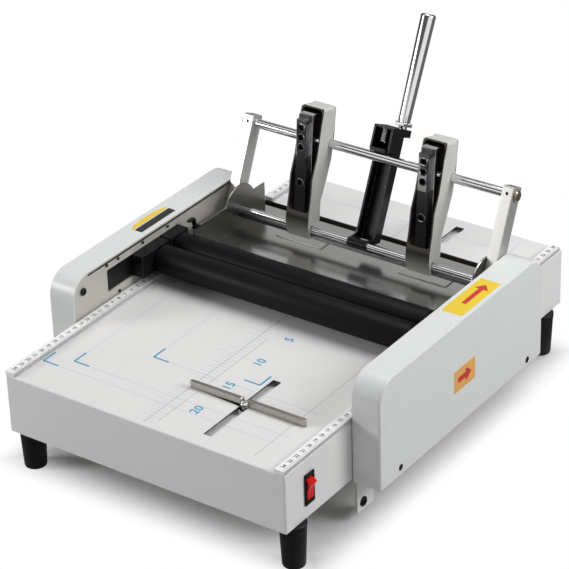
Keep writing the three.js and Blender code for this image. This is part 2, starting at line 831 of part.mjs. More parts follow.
// Where the upper rod lies in the lever's own frame.
const rodInLever = {
  rear: armReach * Math.sin(armLean - leverLean),
  up: armReach * Math.cos(armLean - leverLean),
};
const saddleBottom = rodInLever.up + upperRod.radius + saddle.rodGap;
const saddleTop = saddleBottom + saddle.height;

// The saddle rides between the walls of the channel and sits on the upper rod.
function rodSaddle() {
  const halfWidth = channel.halfWidth - channel.wall - runningGap;
  const webFront = stem.rear - channel.wall - channel.wall / 4;
  return block(
    [-halfWidth, halfWidth],
    [saddle.front, webFront - runningGap],
    [saddleBottom, saddleTop],
  );
}

// One unbroken wire: a straight end, the coils, and a straight end.
function springPath() {
  const bottom = saddleTop + seatGap;
  const top = channel.top - channel.wall - seatGap;
  const straight = 2 * spring.wireRadius;
  const turnLength = top - bottom - 2 * straight;
  const steps = Math.round(spring.turns * spring.stepsPerTurn);
  const points = [new THREE.Vector3(spring.coilRadius, spring.rear, bottom)];
  for (let step = 0; step <= steps; step += 1) {
    const angle = step * 2 * Math.PI / spring.stepsPerTurn;
    points.push(new THREE.Vector3(
      spring.coilRadius * Math.cos(angle),
      spring.rear + spring.coilRadius * Math.sin(angle),
      bottom + straight + turnLength * step / steps,
    ));
  }
  const last = points[points.length - 1];
  points.push(new THREE.Vector3(last.x, last.y, top));
  return points;
}

function leverSpring() {
  const points = springPath();
  const rings = points.map((point, i) => {
    const before = points[Math.max(i - 1, 0)];
    const after = points[Math.min(i + 1, points.length - 1)];
    const isEnd = i === 0 || i === points.length - 1;
    const ahead = isEnd ? new THREE.Vector3(0, 0, 1) : after.clone().sub(before).normalize();
    const outward = new THREE.Vector3(point.x, point.y - spring.rear, 0).normalize();
    const sideways = ahead.clone().cross(outward).normalize();
    const trueOutward = sideways.clone().cross(ahead).normalize();
    const ring = [];
    for (let side = 0; side < spring.sides; side += 1) {
      const angle = side * 2 * Math.PI / spring.sides;
      ring.push(point.clone()
        .addScaledVector(trueOutward, spring.wireRadius * Math.cos(angle))
        .addScaledVector(sideways, spring.wireRadius * Math.sin(angle)));
    }
    return ring;
  });
  const corners = rings.flat();
  const index = [];
  for (let i = 0; i + 1 < rings.length; i += 1) {
    for (let side = 0; side < spring.sides; side += 1) {
      const a = i * spring.sides + side;
      const b = i * spring.sides + (side + 1) % spring.sides;
      index.push(a, b, b + spring.sides, a, b + spring.sides, a + spring.sides);
    }
  }
  const lastRing = (rings.length - 1) * spring.sides;
  for (let side = 1; side + 1 < spring.sides; side += 1) {
    index.push(0, side + 1, side);
    index.push(lastRing, lastRing + side, lastRing + side + 1);
  }
  const geometry = new THREE.BufferGeometry();
  const places = corners.flatMap((corner) => corner.toArray());
  geometry.setAttribute('position', new THREE.Float32BufferAttribute(places, 3));
  geometry.setIndex(index);
  return toSolid(geometry);
}

// The least gap between neighbouring turns of the wire, measured on the points of its path.
function leastSpringGap() {
  const points = springPath();
  let least = Infinity;
  for (let i = 0; i < points.length; i += 1) {
    for (let j = i + spring.stepsPerTurn / 2; j < points.length; j += 1) {
      least = Math.min(least, points[i].distanceTo(points[j]));
    }
  }
  return least - 2 * spring.wireRadius;
}

// A point of the casing's side, from its shares of the casing's reach and height.
function casingPoint([reachShare, heightShare]) {
  return [
    lowerRod.y - casing.ahead + reachShare * casing.reach,
    lowerRod.z - casing.under + heightShare * casing.height,
  ];
}

// A stapler head's casing: a folded cover open to the front and below, hung on the upper rod.
function headCasing(centre) {
  const front = casingFrontShares.map(casingPoint);
  const rear = casingRearShares.map(casingPoint);
  const bottom = front[0][1];
  const archTop = lowerRod.z + casingArch.above;
  const arch = [
    [rear[rear.length - 1][0], archTop],
    [lowerRod.y - casingArch.ahead, archTop],
    [front[1][0] + casingStrip + casing.chinWall, lowerRod.z],
    [front[0][0] + casingStrip / 3, bottom],
  ];
  const last = front[front.length - 1];
  const lead = 2 * casing.bend;
  const ceiling = last[1] - casing.wall;
  const raisedRear = [
    rear[0][0] + lead * (rear[0][0] - rear[1][0]) / (rear[0][1] - rear[1][1]),
    rear[0][1] + lead,
  ];
  const trueSide = outline([...front, ...rear.slice(0, -1), ...arch]);
  const fullSide = outline([
    ...front.map(([y, z]) => [y - lead, z]),
    [last[0] - lead, last[1] + lead],
    raisedRear,
    ...rear,
    [rear[rear.length - 1][0], bottom - overrun],
    [front[0][0] - lead, bottom - overrun],
  ]);
  const outerX = around(centre, headWidth);
  const innerX = around(centre, headWidth - 2 * casing.wall);
  const chinTop = lowerRod.z - casing.under + chinShare * casing.height;
  const innerRear = rear.map(([y, z]) => [y - casing.wall, z]);
  innerRear[0][1] -= casing.wall;
  const innerChin = front.slice(0, 3).map(([y, z]) => [y + casing.chinWall, z]);
  innerChin[0][1] = bottom - overrun;
  const hollow = outline([
    ...innerChin,
    [innerChin[2][0] + casing.chinWall, chinTop],
    [front[0][0] - 3 * casing.bend, chinTop],
    [front[0][0] - 3 * casing.bend, ceiling],
    [last[0], ceiling],
    ...innerRear,
    [innerRear[innerRear.length - 1][0], bottom - overrun],
  ]);
  const rodHole = disc(upperRod.y, upperRod.z, upperRod.radius + runningGap);
  const rodBore = alongX(rodHole, around(centre, 2 * headWidth));
  return alongX(fullSide, outerX, roundSteps, casing.bend, 3)
    .intersect(alongX(trueSide, outerX))
    .subtract(alongX(hollow, innerX, roundSteps, casing.bend - casing.wall, 3))
    .subtract(rodBore);
}

// A magazine stands in its own leaning frame: y to the rear, z up its front face.
const rodInMagazine = {
  y: magazine.ahead * Math.cos(magazineLean) + magazine.foot * Math.sin(magazineLean),
  z: magazine.ahead * Math.sin(magazineLean) - magazine.foot * Math.cos(magazineLean),
};

function magazineSolid() {
  const range = around(0, magazine.width);
  const neckFront = rodInMagazine.y - magazine.neck / 2;
  const body = alongX(
    outline([
      [0, 0],
      [neckFront, 0],
      [neckFront, rodInMagazine.z],
      [neckFront + magazine.neck, rodInMagazine.z],
      [magazine.depth, 0],
      [magazine.depth, magazine.height + magazine.step],
      [magazine.depth / 2, magazine.height + magazine.step],
      [magazine.depth / 2, magazine.height],
      [0, magazine.height],
    ]),
    range,
  );
  const hub = alongX(disc(rodInMagazine.y, rodInMagazine.z, magazine.hub), range);
  const bore = alongX(
    disc(rodInMagazine.y, rodInMagazine.z, lowerRod.radius + runningGap),
    around(0, 2 * magazine.width),
  );
  let solid = body.add(hub).subtract(bore);
  for (const share of magazineHoleShares) {
    const height = share * magazine.height;
    const bossRange = [-magazineHole.proud, magazine.depth / 2];
    const boss = alongY(disc(0, height, magazineHole.boss), bossRange, 2 * smallSteps);
    const hole = alongY(disc(0, height, magazineHole.radius), [-overrun, magazineHole.depth], 2 * smallSteps);
    solid = solid.add(boss).subtract(hole);
  }
  return solid;
}

function magazineRail() {
  const front = magazine.depth + seatGap;
  const top = magazine.height + magazine.step;
  return alongX(
    outline([
      [front, railWaistShares.foot * magazine.height],
      [front + rail.footDepth, railWaistShares.foot * magazine.height],
      [front + rail.waistDepth, railWaistShares.low * magazine.height],
      [front + rail.waistDepth, railWaistShares.high * magazine.height],
      [front + rail.topDepth, top],
      [front, top],
    ]),
    around(0, rail.width),
  );
}

// The paper stop is a narrow bar laid across the table, with round ends. Where its screw
// passes it is cut down to a thin round eye.
function paperStop() {
  const half = stop.width / 2;
  const yRange = [stopY - stop.ahead, stopY - stop.ahead + stop.width];
  const bar = alongZ(
    roundedRectangle([stop.left, stopRight], yRange, [half, half, half, half]),
    [seatGap, stop.top],
    smallSteps,
    stop.edge,
    1,
  );
  const eyeTop = seatGap + stopEye.thickness;
  const eyeDisc = disc(frontSlot.centreX, stopY, stopEye.radius);
  const recess = alongZ(eyeDisc, [eyeTop, stop.top + overrun], 2 * smallSteps);
  const eye = alongZ(eyeDisc, [seatGap, eyeTop], 2 * smallSteps);
  const boreRadius = stopScrew.shank - runningGap;
  const bore = alongZ(disc(frontSlot.centreX, stopY, boreRadius), [-overrun, 2 * overrun], 2 * smallSteps);
  return bar.subtract(recess).add(eye).subtract(bore);
}

// The stop's screw runs down through the slot to a nut under the table.
function stopScrewSolid() {
  const neck = stopScrew.shank - 2 * runningGap;
  const nutTop = -sheet - runningGap;
  const headBottom = seatGap + stopEye.thickness + runningGap;
  const headTop = headBottom + stopScrew.headHeight;
  const profile = [
    [0, nutTop - stopScrew.nutHeight],
    [stopScrew.nut, nutTop - stopScrew.nutHeight],
    [stopScrew.nut, nutTop],
    [neck, nutTop],
    [neck, headBottom],
    [stopScrew.head, headBottom],
    [stopScrew.head, headTop - stopScrew.headHeight / 3],
    [stopScrew.head - stopScrew.headHeight / 3, headTop],
    [0, headTop],
  ];
  return toSolid(turned(profile).translate(frontSlot.centreX, stopY, 0));
}

function switchBezel() {
  const flange = block(
    [tableHalf + seatGap, tableHalf + seatGap + bezel.proud],
    around(rockerY, bezel.width),
    around(rocker.z, bezel.height),
  );
  const bodyInset = bezel.wall + seatGap;
  const body = block(
    [tableHalf - bezel.depth, tableHalf + seatGap + bezel.proud / 2],
    around(rockerY, bezel.width - 2 * bodyInset),
    around(rocker.z, bezel.height - 2 * bodyInset),
  );
  const well = block(
    [tableHalf - bezel.depth + bezel.wall, tableHalf + overrun],
    around(rockerY, rocker.width + 2 * runningGap),
    around(rocker.z, rocker.height + 2 * bezel.swing + 2 * runningGap),
  );
  return flange.add(body).subtract(well);
}

// The rocker is made about its own pivot and stands in a frame that is tilted to one side.
function rockerSolid() {
  const halfHeight = rocker.height / 2;
  const side = outline([
    [0, -halfHeight],
    [rocker.tip, rocker.slant - halfHeight],
    [rocker.waist, 0],
    [rocker.tip, halfHeight - rocker.slant],
    [0, halfHeight],
    [-rocker.back, rockerBackShare * halfHeight],
    [-rocker.back, -rockerBackShare * halfHeight],
  ]);
  return alongY(side, around(0, rocker.width));
}

function powerInlet() {
  const wide = inlet.width;
  const tall = inlet.height;
  const corners = [inlet.corner, inlet.corner, inlet.corner, inlet.corner];
  const flange = alongY(
    roundedRectangle(around(inlet.x, wide), around(inlet.z, tall), corners),
    [rearReach + seatGap, rearReach + seatGap + inlet.proud],
    2,
  );
  const body = block(
    around(inlet.x, wide - 2 * inlet.rim),
    [rearReach - inlet.depth, rearReach + seatGap + inlet.proud / 2],
    around(inlet.z, tall - 2 * inlet.rim),
  );
  const socket = block(
    around(inlet.x, wide - 3 * inlet.rim),
    [rearReach - inlet.depth + inlet.rim, rearReach + overrun],
    around(inlet.z, tall - 3 * inlet.rim),
  );
  let solid = flange.add(body).subtract(socket);
  for (const step of [-1, 0, 1]) {
    const lift = step === 0 ? inletPin.raise : -inletPin.raise / 2;
    const pin = block(
      around(inlet.x + step * inletPin.pitch, inletPin.width),
      [rearReach - inlet.depth + inlet.rim / 2, rearReach - inlet.depth + inlet.rim + inletPin.length],
      around(inlet.z + lift, inletPin.height),
    );
    solid = solid.add(pin);
  }
  return solid;
}

// A bent strip that stands on the left lug beside the rear roller.
function paperSensor() {
  const foot0 = lug.height + seatGap;
  const top = foot0 + sensor.rise;
  const strip = outline([
    [lug.front, foot0],
    [sensor.rear, foot0],
    [sensor.rear, foot0 + sensor.thickness],
    [sensor.knee + sensor.thickness, foot0 + sensor.thickness],
    [sensor.bend + sensor.thickness, top],
    [sensor.front, top],
    [sensor.front, top - sensor.thickness],
    [sensor.bend, top - sensor.thickness],
    [sensor.knee, foot0 + sensor.thickness],
    [lug.front, foot0 + sensor.thickness],
  ]);
  const middle = -(lugInner + lugOuter) / 2;
  return alongX(strip, around(middle, sensor.width));
}

const machine = new THREE.Group();
const deck = new THREE.Group();
machine.add(deck);

deck.add(
  piece('front_table', frontTable(), tableWhite),
  piece('rear_table', rearTable(), tableWhite),
  piece('base_plate', basePlate(), plateGrey),
  piece('centre_plate', centrePlate(), stainless),
  piece('fold_blade', foldBlade(), stainless),
  piece('lower_rod', rod(lowerRod, plateOuter - seatGap), chrome),
  piece('upper_rod', rod(upperRod, rollerHalfLength), chrome),
  piece('paper_stop', paperStop(), stainless),
  piece('stop_screw', stopScrewSolid(), chrome),
  piece('switch_bezel', switchBezel(), blackPlastic),
  piece('power_inlet', powerInlet(), blackPlastic),
  piece('paper_sensor', paperSensor(), blackSteel),
);

const railBarHalf = lugInner - seatGap;
deck.add(piece(
  'rail_bar',
  block([-railBarHalf, railBarHalf], [railBar.front, railBar.rear], [railBar.bottom, railBar.top]),
  darkSteel,
));

for (const side of bothSides) {
  const name = sideNames[side];
  deck.add(
    piece(`side_plate_${name}`, sidePlate(side), plateGrey),
    piece(`side_cover_${name}`, sideCover(side), coverGrey),
    piece(`front_ruler_${name}`, rulerSolid(side, [-frontReach, -tableEdge - ruler.endGap]), rulerWhite),
    piece(`rear_ruler_${name}`, rulerSolid(side, [rearTableFront, rearReach - ruler.rearInset]), rulerWhite),
    piece(`anvil_${name}`, anvilSolid(side), stainless),
    piece(
      `front_bearing_${name}`,
      bearingBlock(side, frontBearing).subtract(bearingBore(side, -rollerOffset)),
      blackPlastic,
    ),
    piece(
      `rear_bearing_${name}`,
      bearingBlock(side, rearBearing).subtract(bearingBore(side, rollerOffset)),
      blackPlastic,
    ),
    piece(`front_foot_${name}`, footSolid(side * footX, footInset.front - frontReach), blackRubber),
    piece(`rear_foot_${name}`, footSolid(side * footX, rearReach - footInset.rear), blackRubber),
  );
}

const frontShaftRange = [-shaftLeftEnd, gearEnd];
const rearShaftRange = [-shaftLeftEnd, pulleyEnd];
deck.add(
  piece('front_roller', rollerSleeve(-rollerOffset), blackRubber),
  piece('rear_roller', rollerSleeve(rollerOffset), blackRubber),
  piece('front_shaft', alongX(disc(-rollerOffset, rollerHeight, shaftRadius), frontShaftRange), darkSteel),
  piece('rear_shaft', alongX(disc(rollerOffset, rollerHeight, shaftRadius), rearShaftRange), darkSteel),
  piece('front_gear', frontGear(), darkSteel),
  piece('rear_gear_pulley', rearGearPulley(), darkSteel),
  piece('motor_pulley', motorPulley(), darkSteel),
  piece('drive_belt', driveBelt(), blackRubber),
  piece('drive_motor', driveMotor(), darkSteel),
);

// The press frame leans back from the lower rod.
const armFrame = new THREE.Group();
armFrame.position.set(0, lowerRod.y, lowerRod.z);
armFrame.rotation.x = -armLean;
for (const side of bothSides) {
  armFrame.add(
    piece(`press_arm_${sideNames[side]}`, pressArm(side), chrome),
    piece(`rod_screw_${sideNames[side]}`, rodScrewSolid(side), chrome),
  );
}

const leverFrame = new THREE.Group();
leverFrame.position.set(0, lowerRod.y, lowerRod.z);
leverFrame.rotation.x = -leverLean;
leverFrame.add(
  piece('lever_channel', leverChannel(), blackSteel),
  piece('handle', handleGrip(), chrome),
  piece('handle_nut', handleNutSolid(), chrome),
  piece('rod_saddle', rodSaddle(), darkSteel),
  piece('lever_spring', leverSpring(), chrome),
);
deck.add(armFrame, leverFrame);

for (const name of ['left', 'right']) {
  const centre = headCentres[name];
  const magazineFrame = new THREE.Group();
  magazineFrame.position.set(centre, lowerRod.y - magazine.ahead, lowerRod.z + magazine.foot);
  magazineFrame.rotation.x = -magazineLean;
  magazineFrame.add(
    piece(`magazine_${name}`, magazineSolid(), blackSteel),
    piece(`magazine_rail_${name}`, magazineRail(), chrome),
  );
  deck.add(magazineFrame, piece(`head_casing_${name}`, headCasing(centre), headGrey));
}

const rockerFrame = new THREE.Group();
rockerFrame.position.set(tableHalf - rocker.inset, rockerY, rocker.z);
rockerFrame.rotation.y = rockerTilt;
rockerFrame.add(piece('switch_rocker', rockerSolid(), redPlastic));
deck.add(rockerFrame);

// The part's origin is on the floor, under the middle of the whole machine.
machine.updateMatrixWorld(true);
const reach = new THREE.Box3().setFromObject(machine, true);
deck.position.set(0, -(reach.min.y + reach.max.y) / 2, boxDepth + foot.height);
machine.updateMatrixWorld(true);

console.log(`least gap between spring turns: ${leastSpringGap().toFixed(2)} mm`);

export default machine;
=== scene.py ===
import math

import bmesh
import bpy
from mathutils import Matrix, Vector


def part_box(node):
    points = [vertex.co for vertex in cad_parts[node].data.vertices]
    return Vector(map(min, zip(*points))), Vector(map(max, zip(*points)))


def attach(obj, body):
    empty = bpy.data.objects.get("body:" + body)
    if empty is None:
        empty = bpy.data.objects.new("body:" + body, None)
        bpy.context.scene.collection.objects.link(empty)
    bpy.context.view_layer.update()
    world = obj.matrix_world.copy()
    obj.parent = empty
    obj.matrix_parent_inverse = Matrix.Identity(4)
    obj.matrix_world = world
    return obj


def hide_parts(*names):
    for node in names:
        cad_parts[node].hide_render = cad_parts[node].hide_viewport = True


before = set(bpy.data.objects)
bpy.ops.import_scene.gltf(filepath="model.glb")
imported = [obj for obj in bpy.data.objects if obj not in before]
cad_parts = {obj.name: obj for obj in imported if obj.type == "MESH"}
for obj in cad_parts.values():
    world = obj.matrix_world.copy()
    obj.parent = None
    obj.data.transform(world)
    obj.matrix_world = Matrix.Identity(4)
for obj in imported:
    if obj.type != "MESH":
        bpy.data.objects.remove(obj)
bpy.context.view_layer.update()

# Camera: a long lens stands off the machine's front right corner, above the tables,
# and leans a little to its right. It looks at the paper rollers' left half.
def placed(name, data):
    """A new object in the scene."""
    made = bpy.data.objects.new(name, data)
    bpy.context.scene.collection.objects.link(made)
    return made


camera_place = Vector((1.26304, -1.75701, 1.35584))
camera_aim = Vector((-0.0341, 0.03646, 0.1106))
camera_roll = math.radians(-1.898)
camera_data = bpy.data.cameras.new("camera")
camera_data.lens = 159.36
camera_data.sensor_width = 36
camera_data.shift_x = -0.0089
camera_data.shift_y = -0.0018
camera = placed("camera", camera_data)
camera.location = camera_place
levelled = (camera_aim - camera_place).to_track_quat("-Z", "Y").to_matrix()
camera.rotation_euler = (levelled @ Matrix.Rotation(camera_roll, 3, "Z")).to_euler()
bpy.context.scene.camera = camera

# Studio: a plain pale floor and a white surround, in which polished metal also sees darker
# panels. A large soft light hangs above, one stands near the left front and one at the right.
bpy.context.scene.view_settings.view_transform = "Standard"
scene_world = bpy.data.worlds.new("surround")
bpy.context.scene.world = scene_world
scene_world.use_nodes = True
surround = scene_world.node_tree
surround.nodes.clear()


def fill(tree, node, inputs):
    """Sets a node's inputs, from sockets or from plain values."""
    for name, source in inputs.items():
        if isinstance(source, bpy.types.NodeSocket):
            tree.links.new(source, node.inputs[name])
        else:
            node.inputs[name].default_value = source


def add_node(tree, kind, inputs, operation=None):
    """Adds a shader node with its inputs."""
    node = tree.nodes.new("ShaderNode" + kind)
    if operation:
        node.operation = operation
    fill(tree, node, inputs)
    return node


def ranged(tree, value, low, high, first=0, last=1):
    """Turns a value from first to last into one from low to high."""
    spread = {"Value": value, "From Min": first, "From Max": last, "To Min": low, "To Max": high}
    return add_node(tree, "MapRange", spread).outputs["Result"]


def colour_mix(tree, share, first, last, blend="MIX"):
    """Mixes two colours, or multiplies them."""
    node = tree.nodes.new("ShaderNodeMix")
    node.data_type = "RGBA"
    node.blend_type = blend
    fill(tree, node, {"Factor": share, "A": first, "B": last})
    return node.outputs["Result"]


def grey(level):
    """A plain grey, as a colour."""
    return (level, level, level, 1)


def grey_ramp(tree, value, *stops):
    """Runs a value through plain greys, given as (place, grey) pairs."""
    ramp = add_node(tree, "ValToRGB", {"Fac": value})
    elements = ramp.color_ramp.elements
    elements[1].position = stops[-1][0]
    for place, level in stops[1:-1]:
        elements.new(place)
    for element, (place, level) in zip(elements, stops):
        element.position = place
        element.color = grey(level)
    return ramp.outputs["Color"]


def seen_ray(tree):
    """One for camera, glossy and transmission rays, which see the background."""
    ray = add_node(tree, "LightPath", {}).outputs
    seen = ray["Is Camera Ray"]
    for kind in ("Is Glossy Ray", "Is Transmission Ray"):
        seen = add_node(tree, "Math", {0: seen, 1: ray[kind]}, "MAXIMUM").outputs[0]
    return seen


compass = add_node(surround, "TexCoord", {}).outputs["Object"]
heading = add_node(surround, "SeparateXYZ", {0: compass}).outputs
turn_angle = add_node(surround, "Math", {0: heading["Y"], 1: heading["X"]}, "ARCTAN2").outputs[0]
whole_turn = ranged(surround, turn_angle, 0, 1, -math.pi, math.pi)
side_panels = grey_ramp(
    surround, whole_turn,
    (0.0, 0.03), (0.045, 0.03), (0.065, 0.95), (0.279, 0.97), (0.288, 0.01), (0.310, 0.01),
    (0.319, 0.97), (0.60, 0.95), (0.635, 0.03), (0.79, 0.05), (0.83, 0.42), (0.89, 0.42),
    (0.93, 0.03), (1.0, 0.03),
)
panel_lean = -0.15
leaning = {0: heading["Y"], 1: panel_lean, 2: heading["Z"]}
panel_height = add_node(surround, "Math", leaning, "MULTIPLY_ADD").outputs[0]
top_panels = grey_ramp(
    surround, panel_height,
    (0.0, 0.10), (0.60, 0.10), (0.82, 0.08), (0.85, 1.0), (0.91, 1.0), (0.94, 0.12), (1.0, 0.12),
)
panel_joint = (0.48, 0.56)
how_high = ranged(surround, panel_height, 0, 1, *panel_joint)
panels = colour_mix(surround, how_high, side_panels, top_panels)
straight_seen = add_node(surround, "LightPath", {}).outputs["Is Camera Ray"]
white_behind = colour_mix(surround, straight_seen, panels, grey(1))
shown_surround = add_node(surround, "Background", {"Color": white_behind})
lit_surround = add_node(surround, "Background", {"Color": (0.98, 0.99, 1, 1), "Strength": 0.185})
surround_mix = add_node(surround, "MixShader", {
    "Fac": seen_ray(surround), 1: lit_surround.outputs[0], 2: shown_surround.outputs[0],
})
add_node(surround, "OutputWorld", {"Surface": surround_mix.outputs[0]})


def mesh_object(name, bm):
    """Turns a finished bmesh into an object at the origin."""
    mesh = bpy.data.meshes.new(name)
    bm.to_mesh(mesh)
    bm.free()
    return placed(name, mesh)


floor_radius = 9
floor_shape = bmesh.new()
bmesh.ops.create_circle(floor_shape, cap_ends=True, segments=96, radius=floor_radius)
floor = mesh_object("floor", floor_shape)
floor_paint = bpy.data.materials.new("floor_paint")
floor_paint.use_nodes = True
floor_tree = floor_paint.node_tree
floor_tree.nodes.remove(floor_tree.nodes["Principled BSDF"])
floor_seen = seen_ray(floor_tree)
floor_tone = colour_mix(floor_tree, floor_seen, grey(0.60), grey(0.86))
floor_body = add_node(floor_tree, "BsdfDiffuse", {"Color": floor_tone})
floor_place = add_node(floor_tree, "TexCoord", {}).outputs["Object"]
footprint = {0: floor_place, 1: (0.195, 0.253, 1)}
from_middle = add_node(floor_tree, "VectorMath", footprint, "DIVIDE").outputs["Vector"]
each_way = add_node(floor_tree, "VectorMath", {0: from_middle}, "ABSOLUTE").outputs["Vector"]
ways = add_node(floor_tree, "SeparateXYZ", {0: each_way}).outputs
from_machine = add_node(floor_tree, "Math", {0: ways["X"], 1: ways["Y"]}, "MAXIMUM").outputs[0]
shadow_fade = {"Value": from_machine, "From Min": 0.80, "From Max": 1.04}
far_share = add_node(floor_tree, "MapRange", shadow_fade)
far_share.interpolation_type = "SMOOTHSTEP"
white_share = {0: far_share.outputs["Result"], 1: floor_seen}
floor_share = add_node(floor_tree, "Math", white_share, "MULTIPLY").outputs[0]
floor_ray = add_node(floor_tree, "LightPath", {}).outputs["Is Camera Ray"]
far_colour = colour_mix(floor_tree, floor_ray, grey(0.15), grey(1))
floor_white = add_node(floor_tree, "Emission", {"Color": far_colour})
floor_mix = add_node(floor_tree, "MixShader", {
    "Fac": floor_share, 1: floor_body.outputs[0], 2: floor_white.outputs[0],
})
fill(floor_tree, floor_tree.nodes["Material Output"], {"Surface": floor_mix.outputs[0]})
floor.data.materials.append(floor_paint)


def soft_light(name, place, size, power):
    """A square studio lamp that faces the machine's tables."""
    lamp = bpy.data.lights.new(name, "AREA")
    lamp.size = size
    lamp.energy = power
    stand = placed(name, lamp)
    stand.location = place
    stand.rotation_euler = (camera_aim - Vector(place)).to_track_quat("-Z", "Y").to_euler()


soft_light("top_light", (-0.1, 0.45, 2.3), 1.5, 25.3)
soft_light("front_light", (-1.45, -1.25, 0.8), 0.6, 16)
soft_light("side_light", (1.5, 0.5, 1.1), 0.8, 18)


# The sheet-metal box in two halves, front and rear, with the base plate under them: steel
# folded with small radii and powder-coated warm white. Each half has a slot for a paper stop,
# and a pale guide lies under the slot.
def new_material(name):
    """A new material: itself, its node tree, its shader and the place on the piece."""
    material = bpy.data.materials.new(name)
    material.use_nodes = True
    tree = material.node_tree
    place = add_node(tree, "TexCoord", {}).outputs["Object"]
    return material, tree, tree.nodes["Principled BSDF"], place


def noise(tree, place, scale, detail=2, roughness=0.5):
    """A noise pattern on a piece."""
    pattern = {"Vector": place, "Scale": scale, "Detail": detail, "Roughness": roughness}
    return add_node(tree, "TexNoise", pattern).outputs["Fac"]


def relief(tree, body, height, strength, depth):
    """Gives a surface the relief of a pattern."""
    bump = add_node(tree, "Bump", {"Height": height, "Strength": strength, "Distance": depth})
    fill(tree, body, {"Normal": bump.outputs["Normal"]})


def grainy_paint(name, colour, roughness, grain, depth, mottle=0.03, shine=0.5):
    """Powder coat: a fine orange peel in the surface and a faint drift in its tone."""
    material, tree, body, place = new_material(name)
    drift = ranged(tree, noise(tree, place, 14, 5), 1 - mottle, 1 + mottle)
    tinted = colour_mix(tree, 1, (*colour, 1), drift, "MULTIPLY")
    peel = noise(tree, place, grain, 3)
    sheen = ranged(tree, peel, roughness - 0.05, roughness + 0.07)
    fill(tree, body, {"Specular IOR Level": shine, "Base Color": tinted, "Roughness": sheen})
    relief(tree, body, peel, 0.35, depth)
    return material


table_paint = grainy_paint("table_paint", (0.79, 0.78, 0.77), 0.32, 900, 0.00006)
plate_paint = grainy_paint("plate_paint", (0.56, 0.54, 0.50), 0.38, 900, 0.00006)


def smooth_shaded(piece, sharp_degrees=40):
    """Shades a piece smooth, with its true edges kept sharp."""
    piece.data.shade_smooth()
    piece.data.set_sharp_from_angle(angle=math.radians(sharp_degrees))


def rounded_edges(piece, width, segments=2, limit_degrees=35):
    """Breaks the edges of a piece with a live bevel and keeps its flat faces flat."""
    bevel = piece.modifiers.new("edge", "BEVEL")
    bevel.width = width
    bevel.segments = segments
    bevel.limit_method = "ANGLE"
    bevel.angle_limit = math.radians(limit_degrees)
    bevel.harden_normals = True
    piece.data.shade_smooth()
    weights = piece.modifiers.new("flat_faces", "WEIGHTED_NORMAL")
    weights.weight = 100
    weights.keep_sharp = True


def dressed(piece, material, body, *nodes, slot=None):
    """Gives a piece its material, its body and the nodes it stands for; its slot is not used."""
    piece.data.materials.clear()
    piece.data.materials.append(material)
    # Blender numbers a name that the frame already has, as in chrome.001.
    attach(piece, body)
    if nodes:
        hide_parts(*nodes)
    return piece


def other_faces(piece, material, is_chosen):
    """Gives another material to the faces that is_chosen picks by their centre and normal."""
    piece.data.materials.append(material)
    for face in piece.data.polygons:
        if is_chosen(face.center, face.normal):
            face.material_index = len(piece.data.materials) - 1


def cut_window(bm, low, high, facing, way=1, least_area=1e-6):
    """Opens a rectangular hole in the broad wall that looks along the facing axis."""
    across = [axis for axis in range(3) if axis != facing]

    def is_on_wall(face):
        return face.normal[facing] * way > 0.9 and face.calc_area() > least_area

    for axis in across:
        for edge in (low, high):
            normal = Vector((0, 0, 0))
            normal[axis] = 1
            wall = [face for face in bm.faces if is_on_wall(face)]
            around = {part for face in wall for part in (*face.edges, *face.verts)}
            geom = list(around) + wall
            bmesh.ops.bisect_plane(bm, geom=geom, plane_co=edge, plane_no=normal)
    gone = []
    for face in bm.faces:
        middle = face.calc_center_median()
        if is_on_wall(face) and all(low[axis] < middle[axis] < high[axis] for axis in across):
            gone.append(face)
    bmesh.ops.delete(bm, geom=gone, context="FACES")


def middle_of(node):
    """The middle of a node's box."""
    low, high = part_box(node)
    return (low + high) / 2


def block(low, high):
    """A box between two corners."""
    low, high = Vector(low), Vector(high)
    bm = bmesh.new()
    bmesh.ops.create_cube(bm, size=1)
    bmesh.ops.scale(bm, verts=bm.verts, vec=high - low)
    bmesh.ops.translate(bm, verts=bm.verts, vec=(low + high) / 2)
    return bm


def round_off(bm, edges, radius, segments):
    """Rounds edges of a mesh."""
    bmesh.ops.bevel(
        bm, geom=edges, offset=radius, segments=segments, profile=0.5, affect="EDGES", material=-1,
    )


def draw_out(bm, extruded, shift):
    """Moves what an extrusion has made."""
    fresh = [part for part in extruded["geom"] if isinstance(part, bmesh.types.BMVert)]
    bmesh.ops.translate(bm, verts=fresh, vec=shift)


def turned_outward(bm, outward):
    """Makes all faces of a shell look out: its largest one looks along outward."""
    bmesh.ops.recalc_face_normals(bm, faces=bm.faces)
    largest = max(bm.faces, key=lambda f: f.calc_area())
    if largest.normal.dot(outward) < 0:
        bmesh.ops.reverse_faces(bm, faces=bm.faces)


def sliced(bm, place, normal):
    """Cuts every face that a plane crosses."""
    whole = [*bm.verts, *bm.edges, *bm.faces]
    bmesh.ops.bisect_plane(bm, geom=whole, plane_co=place, plane_no=normal)


sheet_thickness = 0.0015
fold_radius = 0.0016
flange_depth = 0.012
table_gap = 0.0003
near = 0.001
touching = 0.00001
front_low, front_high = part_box("front_table")
rear_low, rear_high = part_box("rear_table")
table_top = front_high.z
side_x = front_high.x


def folded_half(low, high, open_y):
    """Half of the box: top, end and side walls, with a flange turned down where it is open."""
    bm = block(low, high)
    gone = [
        f for f in bm.faces
        if f.normal.z < -0.5 or abs(f.calc_center_median().y - open_y) < near
    ]
    bmesh.ops.delete(bm, geom=gone, context="FACES")
    lip = [
        e for e in bm.edges
        if all(abs(v.co.y - open_y) < near and v.co.z > high.z - near for v in e.verts)
    ]
    draw_out(bm, bmesh.ops.extrude_edge_only(bm, edges=lip), (0, 0, -flange_depth))
    round_off(bm, [e for e in bm.edges if not e.is_boundary], fold_radius, 4)
    turned_outward(bm, Vector((0, 0, 1)))
    return bm


